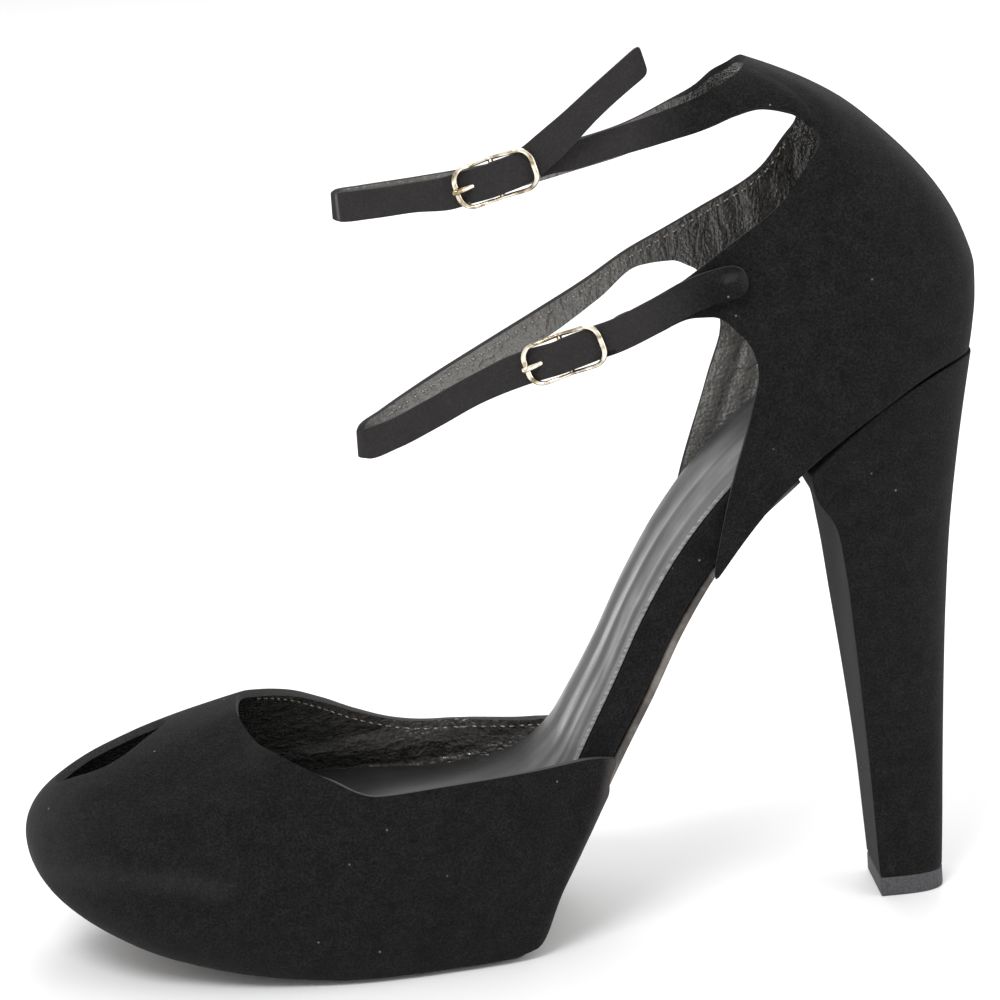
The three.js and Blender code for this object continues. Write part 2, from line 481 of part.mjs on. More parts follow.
function buildVamp() {
  const vampAt = namedCurve(vampRows);
  const grid = stations(0, vampRows.length - 1, 3).reverse().map((t) => vampColumn(vampAt(t), 3, 8));
  const wall = wallSolid(grid, upperWall, () => true);
  const centre = spot(-66.8, 0.8, 0);
  const ring = (z, grow) => range(24).map((k) => {
    const turn = (k / 24) * 2 * Math.PI;
    const reach = 1 - 0.12 * Math.abs(Math.sin(2 * turn)) ** 2;
    const x = centre.x + grow * 0.5 * peepLength * Math.cos(turn);
    return new THREE.Vector3(x, centre.y + grow * reach * 0.5 * peepWidth * Math.sin(turn), z);
  });
  const cutter = tubeSolid([ring(38 * scaleZ, 1), ring(75 * scaleZ, 1)]);
  return fromManifold(toManifold(wall).subtract(toManifold(cutter)));
}

// Place of a buckle: its centre, and unit directions along the strap towards the
// heel, across it upwards, and out from the shoe.
function bucklePlace(front, rear) {
  const centre = front.clone().add(rear).multiplyScalar(0.5);
  const along = rear.clone().sub(front).normalize();
  const across = new THREE.Vector3(0, 0, 1).addScaledVector(along, -along.z).normalize();
  const out = new THREE.Vector3().crossVectors(along, across);
  const at = (a, b, c) => centre.clone().addScaledVector(along, a)
    .addScaledVector(across, b).addScaledVector(out, c);
  return { centre, along, across, out, at };
}

const upperBuckle = bucklePlace(spot(20.7, -11.2, 172.9), spot(38.4, -14.6, 177.9));
const lowerBuckle = bucklePlace(spot(33.3, -15.6, 132.8), spot(50.1, -20.4, 138.4));
const barReach = buckleLength / 2 - wireWide / 2;
const strapDip = wireDeep / 2 + 0.25;
const barDrop = 1.6;
const strapOverBar = wireDeep / 2 + 0.25 + strapThick - barDrop;

function buildBuckle(place) {
  const halfLong = buckleLength / 2 - wireWide / 2;
  const halfWide = buckleWidth / 2 - sideWide / 2;
  const corner = 3.2;
  const path = [];
  [[1, 1, 0], [-1, 1, 90], [-1, -1, 180], [1, -1, 270]].forEach(([sx, sy, from]) => {
    spread(from, from + 90, 4).forEach((angle) => {
      const turn = THREE.MathUtils.degToRad(angle);
      path.push([sx * (halfLong - corner) + corner * Math.cos(turn), sy * (halfWide - corner) + corner * Math.sin(turn)]);
    });
    if (sx === sy) {
      [0.7, 0.4, 0.15, -0.15, -0.4, -0.7].forEach((part) => path.push([sx * part * (halfLong - corner), sy * halfWide]));
    }
  });
  const dipAt = (a) => -barDrop * Math.max(0, 1 - Math.abs(a) / (halfLong - corner)) ** 1.5;
  const wire = range(8).map((k) => (k / 8) * 2 * Math.PI);
  const rings = path.map(([a, b], k) => {
    const [pa, pb] = path[(k + path.length - 1) % path.length];
    const [na, nb] = path[(k + 1) % path.length];
    const length = Math.hypot(na - pa, nb - pb);
    const [oa, ob] = [(nb - pb) / length, -(na - pa) / length];
    return wire.map((turn) => place.at(
      a + oa * 0.5 * wireWide * Math.cos(turn),
      b + ob * 0.5 * sideWide * Math.cos(turn),
      dipAt(a) + 0.5 * wireDeep * Math.sin(turn)));
  });
  const points = rings.flat();
  const triangles = [];
  rings.forEach((_, r) => range(8).forEach((k) => {
    const [n, m] = [(r + 1) % rings.length, (k + 1) % 8];
    triangles.push([r * 8 + k, r * 8 + m, n * 8 + m], [r * 8 + k, n * 8 + m, n * 8 + k]);
  }));
  const frame = solidFrom(points, triangles);
  const bar = tubeSolid([-halfWide, halfWide].map((b) => wire.map((turn) => place.at(
    0.5 * wireDeep * Math.cos(turn), b, -barDrop + 0.5 * wireDeep * Math.sin(turn)))));
  return fromManifold(toManifold(frame).add(toManifold(bar)));
}

// The prong hooks under the centre bar and comes up through the strap to lie with its
// tip on the front bar.
const prongRoot = -barDrop - wireDeep / 2 - fitGap - prongWide / 2;
const prongRest = wireDeep / 2 + fitGap + prongWide / 2;

function buildProng(place) {
  const half = prongWide / 2;
  const line = [
    [0.1, prongRoot], [-0.6, prongRoot + 0.15], [0.9 - barReach, prongRest - 0.45],
    [-barReach, prongRest], [-barReach - 0.9, prongRest],
  ];
  const rings = line.map(([a, c], k) => {
    const [pa, pc] = line[Math.max(k - 1, 0)];
    const [na, nc] = line[Math.min(k + 1, line.length - 1)];
    const length = Math.hypot(na - pa, nc - pc);
    const size = k === line.length - 1 ? 0.6 : 1;
    return range(8).map((m) => {
      const turn = (m / 8) * 2 * Math.PI;
      const lift = half * size * Math.sin(turn);
      return place.at(a - (nc - pc) / length * lift, half * size * Math.cos(turn), c + (na - pa) / length * lift);
    });
  });
  return tubeSolid(rings);
}

// The slanted hole that the prong comes up through.
function prongWay(place) {
  const rise = (prongRest - 0.6 - prongRoot) / (1.5 - barReach);
  const tilt = Math.hypot(1, rise);
  const reach = prongWide / 2 + 0.3;
  return tubeSolid([-1.9, -barReach + 0.6].map((a) => range(12).map((k) => {
    const turn = (k / 12) * 2 * Math.PI;
    const lift = reach * Math.sin(turn);
    const level = prongRoot + 0.15 + (a + 0.6) * rise;
    return place.at(a - (rise / tilt) * lift, reach * Math.cos(turn), level + lift / tilt);
  })));
}

// Outer-face points of a loose strap inside its buckle; it leaves drifting upwards.
function threaded(place, drift) {
  return [
    place.at(-barReach - 1.6, 0, -strapDip - 0.1),
    place.at(-barReach + 0.8, 0, -strapDip),
    place.at(0, 0, strapOverBar),
    place.at(barReach - 0.8, 0.4 * drift, -strapDip),
    place.at(barReach + 1.6, drift, -strapDip - 0.1),
  ];
}

function buildStrap(round, place, drift, tail, slant) {
  const toRow = ({ x, y, z, wide }) => [...spot(x, y, z).toArray(), wide];
  const inBuckle = threaded(place, drift).map((point) => [...point.toArray(), tailWidth]);
  const rows = [...round.map(toRow), ...inBuckle, ...tail.map(toRow)];
  const curve = curveThrough(rows);
  const keys = stations(0, rows.length - 1, 3).map(curve);
  const line = keys.map(([x, y, z]) => new THREE.Vector3(x, y, z));
  const faces = line.map((_, k) => {
    const tangent = line[Math.min(k + 1, line.length - 1)].clone().sub(line[Math.max(k - 1, 0)]);
    return new THREE.Vector3(tangent.y, -tangent.x, 0).normalize();
  });
  const band = toManifold(bandSolid(line, faces, keys.map(([, , , wide]) => wide), strapThick, slant));
  return fromManifold(band.subtract(toManifold(prongWay(place))));
}

// The end of a short strap, just behind the buckle's centre bar.
function strapEnd(place) {
  const under = strapThick + fitGap;
  const edge = (a, b, c) => place.at(a, b, c);
  const width = strapWidth / 2;
  return [
    { low: edge(barReach + 2.5, -width, -strapDip - under - 0.1), high: edge(barReach + 2.5, width, -strapDip - under - 0.1) },
    { low: edge(barReach - 0.8, -width, -strapDip - under), high: edge(barReach - 0.8, width, -strapDip - under) },
    { low: edge(3.6, -width, strapOverBar - under - 1.5), high: edge(3.6, width, strapOverBar - under - 1.5) },
    { low: edge(1.3, -width, strapOverBar - under - 0.7), high: edge(1.3, width, strapOverBar - under - 0.7) },
  ];
}

const lineNames = ['foot', 'low', 'mid', 'high', 'under', 'over', 'below', 'top'];
const bandSteps = [3, 3, 2, 2, 3, 2, 3];

// Grid of one side of the quarter, from the back seam forwards.
function quarterSide(rows, lowerStrap, upperStrap, sign) {
  const columns = 6 + Math.max(lowerStrap.length, upperStrap.length) - 1;
  const lineOf = (name) => {
    const points = rows.map((row) => spot(row[name][0], sign * row[name][1], row[name][2]));
    const more = (name === 'under' || name === 'over') ? lowerStrap : upperStrap;
    more.forEach((row) => {
      if (row[name]) points.push(row[name].isVector3 ? row[name] : spot(row[name][0], sign * row[name][1], row[name][2]));
    });
    return points;
  };
  const curves = lineNames.map((name) => {
    const points = lineOf(name);
    const curve = curveThrough(points.map((point) => point.toArray()));
    return (t) => curve(Math.min(t, points.length - 1));
  });
  return stations(0, columns, 3).map((t) => {
    const keys = curves.map((curve) => curve(t));
    const up = curveThrough(keys);
    const column = [];
    bandSteps.forEach((steps, band) => {
      spread(0, 1, steps).slice(column.length ? 1 : 0).forEach((u) => column.push(new THREE.Vector3(...up(band + u))));
    });
    return column;
  });
}

function buildQuarter() {
  const lowerEnd = strapEnd(lowerBuckle).map(({ low, high }) => ({ under: low, over: high }));
  const upperEnd = strapEnd(upperBuckle).map(({ low, high }) => ({ below: low, top: high }));
  const outerLower = [...outerLowerStrap, ...lowerEnd];
  const outerUpper = [...outerUpperStrap, ...upperEnd];
  const outer = quarterSide(outerRows, outerLower, outerUpper, -1);
  const inner = quarterSide(innerRows, innerLowerStrap, innerUpperStrap, 1);
  const grid = [...outer.slice(1).reverse(), ...inner];
  const seam = outer.length - 1;
  const rowStart = bandSteps.map((_, band) => bandSteps.slice(0, band).reduce((sum, n) => sum + n, 0));
  const keep = (i, j) => {
    const away = i >= seam ? i - seam : seam - 1 - i;
    const lower = i >= seam ? innerLowerStrap.length : outerLower.length;
    const upper = i >= seam ? innerUpperStrap.length : outerUpper.length;
    if (j < rowStart[4]) return away < 15;
    if (j < rowStart[5]) return away < (5 + lower) * 3;
    if (j < rowStart[6]) return away < 9;
    return away < (5 + upper) * 3;
  };
  return wallSolid(grid, upperWall, keep);
}

// Height of the heel seat over the floor at x, from the sole's underside line.
function seatHeight(x) {
  let [low, high] = [breastRow - 1, soleRows.length - 1];
  for (let k = 0; k < 40; k += 1) {
    const middle = (low + high) / 2;
    if (soleStation(middle).under.x < x) low = middle;
    else high = middle;
  }
  return soleStation(low).under.z;
}

function heelRing(row) {
  const seat = heelRows[0];
  return spread(-90, 90, 24).map((angle) => {
    const turn = THREE.MathUtils.degToRad(angle);
    const power = 2 / row.square;
    const depth = Math.max(Math.cos(turn), 0) ** power;
    const aside = Math.sign(turn) * Math.abs(Math.sin(turn)) ** power;
    const x = row.front + (row.back - row.front) * depth;
    const level = row.zFront + (row.zBack - row.zFront) * depth;
    const point = spot(x, row.half * aside, level);
    const straight = seat.zFront + (seat.zBack - seat.zFront) * depth;
    const seatX = spot(seat.front + (seat.back - seat.front) * depth, 0, 0).x;
    point.z += row.bow * (seatHeight(seatX) - straight * scaleZ);
    return point;
  });
}

function buildHeel() {
  const heelAt = namedCurve(heelRows);
  const rings = stations(0, heelRows.length - 1, 2).map((t) => heelRing(heelAt(t)));
  return ringSolid(rings);
}

function buildLift() {
  const row = heelRows[heelRows.length - 1];
  const shape = { ...row, half: row.half, bow: 0 };
  const level = (z) => heelRing(shape).map((point) => point.clone().setZ(z));
  return ringSolid([level(0), level(liftHeight)]);
}

function paint(color, roughness, metalness) {
  return new THREE.MeshStandardMaterial({ color, roughness, metalness });
}

const suede = paint('#1b1a1b', 0.95, 0);
const insoleLeather = paint('#58585a', 0.5, 0);
const soleLeather = paint('#3a3635', 0.6, 0);
const core = paint('#6b6258', 0.9, 0);
const liftRubber = paint('#2c2c2e', 0.7, 0);
const paleGold = paint('#d6cbb4', 0.25, 1);

const group = new THREE.Group();
group.name = 'platform_sandal';

function addPart(name, geometry, material) {
  const bare = mergeVertices(geometry, 1e-5);
  bare.computeVertexNormals();
  const mesh = new THREE.Mesh(bare, material);
  mesh.name = name;
  group.add(mesh);
}

addPart('outsole', buildOutsole(), soleLeather);
addPart('platform', buildPlatform(), core);
addPart('insole_board', buildBoard(), suede);
addPart('insole', buildInsole(), insoleLeather);
addPart('vamp', buildVamp(), suede);
addPart('quarter', buildQuarter(), suede);
addPart('strap_lower', buildStrap(lowerStrapRound, lowerBuckle, 0, lowerStrapTail, 0), suede);
addPart('strap_upper', buildStrap(upperStrapRound, upperBuckle, 1.8, upperStrapTail, tailSlant), suede);
addPart('heel', buildHeel(), suede);
addPart('top_lift', buildLift(), liftRubber);
addPart('buckle_lower', buildBuckle(lowerBuckle), paleGold);
addPart('buckle_upper', buildBuckle(upperBuckle), paleGold);
addPart('prong_lower', buildProng(lowerBuckle), paleGold);
addPart('prong_upper', buildProng(upperBuckle), paleGold);

export default group;
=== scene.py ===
"""Dresses a left platform sandal in black suede and sets it under soft studio light.

Lengths in the tables and fields are millimetres in the part's own frame: toe at -X,
heel at +X, outer side at -Y, up +Z. Meshes are written in metres.
"""

import logging
import math
from dataclasses import dataclass, field
from enum import Enum
from typing import Callable, NamedTuple, Sequence

import bmesh
import bpy
from bmesh.types import BMesh
from bpy.types import Material, Node, NodeSocket, NodeTree, Object
from mathutils import Matrix, Vector, noise
from mathutils.bvhtree import BVHTree

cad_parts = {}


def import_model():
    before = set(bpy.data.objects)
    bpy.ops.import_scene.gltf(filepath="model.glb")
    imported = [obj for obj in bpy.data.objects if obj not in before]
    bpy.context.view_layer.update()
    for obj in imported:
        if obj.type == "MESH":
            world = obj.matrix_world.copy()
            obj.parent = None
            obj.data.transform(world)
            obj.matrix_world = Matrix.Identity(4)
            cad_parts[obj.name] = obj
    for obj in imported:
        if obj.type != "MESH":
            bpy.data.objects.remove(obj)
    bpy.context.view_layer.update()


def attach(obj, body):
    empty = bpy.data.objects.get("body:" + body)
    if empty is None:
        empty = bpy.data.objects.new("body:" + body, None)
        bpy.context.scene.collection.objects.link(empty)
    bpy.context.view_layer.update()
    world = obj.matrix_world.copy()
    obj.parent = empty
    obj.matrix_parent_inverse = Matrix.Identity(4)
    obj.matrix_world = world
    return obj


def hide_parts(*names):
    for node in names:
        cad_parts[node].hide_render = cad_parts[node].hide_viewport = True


LOG = logging.getLogger("platform_sandal")
MM = 0.001
WALL = 1.8
GAP = 0.3


class Ends(Enum):
    """How the ends of a loft are finished."""

    CAPPED = "capped"
    RING = "ring"


class Spline:
    """Smooth curve through rows of numbers that never swings past them."""

    def __init__(self, rows: Sequence[Sequence[float]]) -> None:
        """Read the rows.

        Args:
            rows: The numbers of each row; the curve's parameter counts rows.
        """
        self.rows = [tuple(float(value) for value in row) for row in rows]
        self.last = len(self.rows) - 1
        self.knots = [0.0]
        for before, after in zip(self.rows, self.rows[1:]):
            self.knots.append(self.knots[-1] + max(math.dist(before, after), 1e-3))
        self.slopes = [self._slope_row(k) for k in range(self.last + 1)]

    def _chord(self, k: int, c: int) -> float:
        """Return the slope of column c from row k to row k + 1."""
        return (self.rows[k + 1][c] - self.rows[k][c]) / (self.knots[k + 1] - self.knots[k])

    def _slope(self, k: int, c: int) -> float:
        """Return the curve's slope of column c at row k."""
        if self.last == 1:
            return self._chord(0, c)
        if k == 0:
            return self._chord(0, c) * 1.5 - self._slope(1, c) * 0.5
        if k == self.last:
            return self._chord(k - 1, c) * 1.5 - self._slope(k - 1, c) * 0.5
        back, ahead = self._chord(k - 1, c), self._chord(k, c)
        if back * ahead <= 0:
            return 0.0
        before = self.knots[k] - self.knots[k - 1]
        after = self.knots[k + 1] - self.knots[k]
        even = (back * after + ahead * before) / (before + after)
        return math.copysign(min(abs(even), 3 * min(abs(back), abs(ahead))), even)

    def _slope_row(self, k: int) -> tuple[float, ...]:
        """Return the slopes of all columns at row k."""
        return tuple(self._slope(k, c) for c in range(len(self.rows[k])))

    def at(self, t: float) -> tuple[float, ...]:
        """Return the row of numbers at t.

        Args:
            t: Place along the curve, counted in rows.

        Returns:
            One number for each column.
        """
        k = min(max(int(math.floor(t)), 0), self.last - 1)
        span = self.knots[k + 1] - self.knots[k]
        u = t - k
        ease = u * u * (3 - 2 * u)
        start, end = u * (1 - u) ** 2 * span, u * u * (1 - u) * span
        return tuple(
            a + (b - a) * ease + ma * start - mb * end
            for a, b, ma, mb in zip(self.rows[k], self.rows[k + 1],
                                    self.slopes[k], self.slopes[k + 1]))


def steps(start: float, end: float, count: int) -> list[float]:
    """Return count + 1 even values from start to end."""
    return [start + (end - start) * k / count for k in range(count + 1)]


def measure(points: Sequence[Vector]) -> list[float]:
    """Return the running distance along a row of points."""
    run = [0.0]
    for before, after in zip(points, points[1:]):
        run.append(run[-1] + (after - before).length)
    return run


def grid_mesh(columns: Sequence[Sequence[Vector]],
              keep: Callable[[int, int], bool] | None = None) -> BMesh:
    """Make a grid whose corners lie on the given points, with a UV map in metres.

    Args:
        columns: Points in metres, one list for each column of the grid.
        keep: Says which faces stay, by column and row.

    Returns:
        The new mesh.
    """
    wide, high = len(columns) - 1, len(columns[0]) - 1
    mesh = bmesh.new()
    bmesh.ops.create_grid(mesh, x_segments=wide, y_segments=high, size=0.5)
    place = {vert: (round((vert.co.x + 0.5) * wide), round((vert.co.y + 0.5) * high))
             for vert in mesh.verts}
    across = measure([column[high // 2] for column in columns])
    along = measure(columns[wide // 2])
    layer = mesh.loops.layers.uv.new("surface")
    gone = []
    for face in mesh.faces:
        corners = [place[loop.vert] for loop in face.loops]
        for loop, (i, j) in zip(face.loops, corners):
            loop[layer].uv = (across[i], along[j])
        if keep and not keep(min(i for i, _ in corners), min(j for _, j in corners)):
            gone.append(face)
    for vert, (i, j) in place.items():
        vert.co = columns[i][j]
    bmesh.ops.delete(mesh, geom=gone, context="FACES")
    return mesh


def loft(rings: Sequence[Sequence[Vector]], ends: Ends = Ends.CAPPED) -> BMesh:
    """Make a closed solid through rings of points in metres.

    Args:
        rings: Rings of the same count of points, in order.
        ends: Whether the ends are capped or join each other.

    Returns:
        The closed mesh with its faces outwards.
    """
    rows = list(rings) + ([rings[0]] if ends is Ends.RING else [])
    columns = [[ring[k % len(ring)] for ring in rows] for k in range(len(rings[0]) + 1)]
    mesh = grid_mesh(columns)
    bmesh.ops.remove_doubles(mesh, verts=mesh.verts, dist=1e-7)
    if ends is Ends.CAPPED:
        bmesh.ops.edgeloop_fill(mesh, edges=[edge for edge in mesh.edges if edge.is_boundary])
    bmesh.ops.recalc_face_normals(mesh, faces=mesh.faces)
    return mesh


class Stroke(NamedTuple):
    """A mark on a surface: a broken line, its reach across and its strength."""

    points: tuple[tuple[float, float, float], ...]
    reach: float
    amount: float


def stroke_value(place: Vector, stroke: Stroke) -> float:
    """Return a mark's strength at a place in millimetres, fading sideways and at its ends."""
    nearest = math.inf
    for start, end in zip(stroke.points, stroke.points[1:]):
        a, b = Vector(start), Vector(end)
        part = min(max((place - a).dot(b - a) / max((b - a).length_squared, 1e-9), 0.0), 1.0)
        nearest = min(nearest, (place - a.lerp(b, part)).length_squared)
    return stroke.amount * math.exp(-nearest / stroke.reach ** 2)


def all_strokes(place: Vector, strokes: Sequence[Stroke]) -> float:
    """Return the sum of the marks at a place in metres."""
    return sum(stroke_value(place / MM, stroke) for stroke in strokes)


def mark_surface(mesh: BMesh, creases: Sequence[Stroke],
                 rub: Callable[[Vector], float]) -> None:
    """Press the creases into a sheet and note where its nap is paled: by use, and by painted highlights.

    Args:
        mesh: The sheet, with its normals outwards.
        creases: Marks that lift the sheet, or sink it where negative, in millimetres.
        rub: Gives the paleness at a place in metres, from 0 to 1, for strap use and painted highlights.
    """
    layer = mesh.verts.layers.float.new("wear_and_highlight")
    mesh.normal_update()
    for vert in mesh.verts:
        # The layer holds paleness from strap use and from painted highlights.
        vert[layer] = rub(vert.co)
        vert.co += vert.normal * all_strokes(vert.co, creases) * MM
    mesh.normal_update()


def inset_line(columns: Sequence[Sequence[Vector]], edge: int, step: int, inset: float, depth: float,
               creases: Sequence[Stroke]) -> tuple[list[Vector], list[Vector]]:
    """Return a line on a wall's inner face that runs beside one edge of a grid.

    Args:
        columns: Columns of the grid in metres, on the shoe's inner side.
        edge: Row of the edge.
        step: Which way the wall lies from it, 1 or -1.
        inset: Distance from the edge in millimetres.
        depth: Distance of the inner face behind the grid in millimetres.
        creases: Marks pressed into the grid.

    Returns:
        The points in metres, and the wall's outward direction at each.
    """
    line, outs = [], []
    for k in range(1, len(columns) - 1):
        column = columns[k]
        j, left = edge, inset * MM
        while (column[j + step] - column[j]).length < left:
            left -= (column[j + step] - column[j]).length
            j += step
        place = column[j] + (column[j + step] - column[j]).normalized() * left
        out = (columns[k + 1][j] - columns[k - 1][j]).cross(column[j + step] - column[j]).normalized()
        out = out if out.y > 0 else -out
        line.append(place + out * (all_strokes(place, creases) - depth) * MM)
        outs.append(out)
    return line, outs


def rounded_outline(left: float, right: float, low: float, high: float, radius: float,
                    turns: int, sides: int) -> list[tuple[float, float]]:
    """Return the points of a rectangle with round corners, counter-clockwise.

    Args:
        left: Lowest value across.
        right: Highest value across.
        low: Lowest value up.
        high: Highest value up.
        radius: Radius of the corners.
        turns: Steps round each corner.
        sides: Steps along the top and the bottom.

    Returns:
        Points as (across, up).
    """
    points = []
    corners = ((right - radius, high - radius, 0), (left + radius, high - radius, 90),
               (left + radius, low + radius, 180), (right - radius, low + radius, 270))
    for k, (cx, cy, start) in enumerate(corners):
        for angle in steps(start, start + 90, turns):
            turn = math.radians(angle)
            points.append((cx + radius * math.cos(turn), cy + radius * math.sin(turn)))
        if k in (0, 2):
            x0, y0 = points[-1]
            x1 = left + radius if k == 0 else right - radius
            points += [(x0 + (x1 - x0) * part, y0) for part in steps(0, 1, sides)[1:-1]]
    return points


def face_outwards(mesh: BMesh, centre: Vector) -> None:
    """Turn an open wall so that most of it faces away from a point."""
    score = sum((face.calc_center_median() - centre).dot(face.normal) * face.calc_area()
                for face in mesh.faces)
    if score < 0:
        bmesh.ops.reverse_faces(mesh, faces=mesh.faces)
    mesh.normal_update()


def to_object(name: str, mesh: BMesh, materials: Sequence[Material]) -> Object:
    """Turn a mesh into a smooth-shaded object at the origin.

    Args:
        name: Name of the piece.
        mesh: The mesh, which is freed.
        materials: Materials in slot order.

    Returns:
        The new object, linked to the scene.
    """
    for face in mesh.faces:
        face.smooth = True
    data = bpy.data.meshes.new(name)
    mesh.to_mesh(data)
    mesh.free()
    for material in materials:
        data.materials.append(material)
    piece = bpy.data.objects.new(name, data)
    bpy.context.scene.collection.objects.link(piece)
    return piece


def add_wall(piece: Object, thickness: float, edge_slot: int) -> None:
    """Give a sheet its thickness inwards, with its lining as the next material.

    Args:
        piece: The sheet.
        thickness: Wall in millimetres.
        edge_slot: How many slots further on the cut edge's material is.
    """
    solid = piece.modifiers.new("wall", "SOLIDIFY")
    solid.thickness = thickness * MM
    solid.offset = -1
    solid.material_offset = 1
    solid.material_offset_rim = edge_slot


def add_round(piece: Object, width: float, segments: int = 3, angle: float = 50) -> None:
    """Ease the sharp edges of a piece.

    Args:
        piece: The piece.
        width: Width of the bevel in millimetres.
        segments: Steps of the round.
        angle: Edges sharper than this many degrees are eased.
    """
    ease = piece.modifiers.new("eased edges", "BEVEL")
    ease.width = width * MM
    ease.segments = segments
    ease.limit_method = "ANGLE"
    ease.angle_limit = math.radians(angle)
    ease.harden_normals = False


def settle(piece: Object, slot: str, *nodes: str) -> None:
    """Hang a piece on the shoe, and let it stand for CAD nodes.

    Args:
        piece: The finished piece.
        slot: Not used.
        nodes: CAD nodes that it stands for.
    """
    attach(piece, "root")
    if nodes:
        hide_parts(*nodes)
    LOG.info("made %s", piece.name)


# Materials.


NOISE, CELLS, TWIST = "ShaderNodeTexNoise", "ShaderNodeTexVoronoi", "ShaderNodeTexWave"
MIX, MATH, RANGE = "ShaderNodeMix", "ShaderNodeMath", "ShaderNodeMapRange"
BUMP, MARK, AXES = "ShaderNodeBump", "ShaderNodeAttribute", "ShaderNodeSeparateXYZ"
RAMP = "ShaderNodeValToRGB"
COLOURS = {"data_type": "RGBA"}
SHADES = {"data_type": "RGBA", "blend_type": "MULTIPLY"}
VALUES = {"data_type": "FLOAT"}
Scale = tuple[float, float, float]


def linear(code: str) -> tuple[float, float, float, float]:
    """Turn an sRGB hex colour into Blender's linear values.

    Args:
        code: Six hex digits.

    Returns:
        Linear red, green, blue and 1.
    """
    parts = [int(code[k:k + 2], 16) / 255 for k in (0, 2, 4)]
    values = [part / 12.92 if part <= 0.04045 else ((part + 0.055) / 1.055) ** 2.4 for part in parts]
    return (values[0], values[1], values[2], 1.0)


def plug(tree: NodeTree, node: Node, **links: object) -> None:
    """Set or link a node's inputs.

    Args:
        tree: The node tree.
        node: The node.
        links: Input name, with _ for a space, to a value, an output socket, or a node
            that stands for its first output. A name that is i and a number is an input
            by its place.
    """
    for name, value in links.items():
        by_place = name[0] == "i" and name[1:].isdigit()
        socket = node.inputs[int(name[1:]) if by_place else name.replace("_", " ")]
        if isinstance(value, (Node, NodeSocket)):
            tree.links.new(value.outputs[0] if isinstance(value, Node) else value, socket)
        else:
            socket.default_value = value


def add_node(tree: NodeTree, kind: str, settings: dict | None = None, **links: object) -> Node:
    """Add a node with its settings and links.

    Args:
        tree: The node tree.
        kind: Node type name.
        settings: Attributes of the node, and stops for the two ends of a colour ramp:
            each a place with a hex colour or a grey value.
        links: Inputs, as plug reads them.

    Returns:
        The new node.
    """
    node = tree.nodes.new(kind)
    for name, value in (settings or {}).items():
        if name == "stops":
            for element, (place, tone) in zip(node.color_ramp.elements, value):
                element.position = place
                element.color = linear(tone) if isinstance(tone, str) else (tone, tone, tone, 1.0)
        else:
            setattr(node, name, value)
    plug(tree, node, **links)
    return node


def per_mm(size: float) -> float:
    """Return the pattern scale that gives features of a size in millimetres."""
    return 1.0 / (size * MM)


@dataclass(frozen=True)
class Finish:
    """A finish: its name and the values that are the same all over."""

    name: str
    ior: float = 1.5
    metallic: float = 0.0
    roughness: float = 0.5

    def build(self) -> Material:
        """Make the material and paint it.

        Returns:
            The material.
        """
        material = bpy.data.materials.new(self.name)
        material.use_nodes = True
        tree = material.node_tree
        shader = tree.nodes["Principled BSDF"]
        plug(tree, shader, IOR=self.ior, Metallic=self.metallic, Roughness=self.roughness)
        self.paint(tree, shader)
        return material

    def paint(self, tree: NodeTree, shader: Node) -> None:
        """Draw the finish's own pattern, which each finish gives.

        Args:
            tree: The node tree.
            shader: The shader that the pattern goes into.
        """
        raise NotImplementedError(self.name)

    def object_space(self, tree: NodeTree, scale: Scale = (1, 1, 1)) -> NodeSocket:
        """Return object coordinates, stretched by a scale."""
        place = add_node(tree, "ShaderNodeTexCoord").outputs["Object"]
        return add_node(tree, "ShaderNodeMapping", Vector=place, Scale=scale).outputs["Vector"]

    def surface_space(self, tree: NodeTree, scale: Scale = (1, 1, 1)) -> NodeSocket:
        """Return the piece's own UV map, in metres, stretched by a scale."""
        place = add_node(tree, "ShaderNodeUVMap", {"uv_map": "surface"}).outputs["UV"]
        return add_node(tree, "ShaderNodeMapping", Vector=place, Scale=scale).outputs["Vector"]


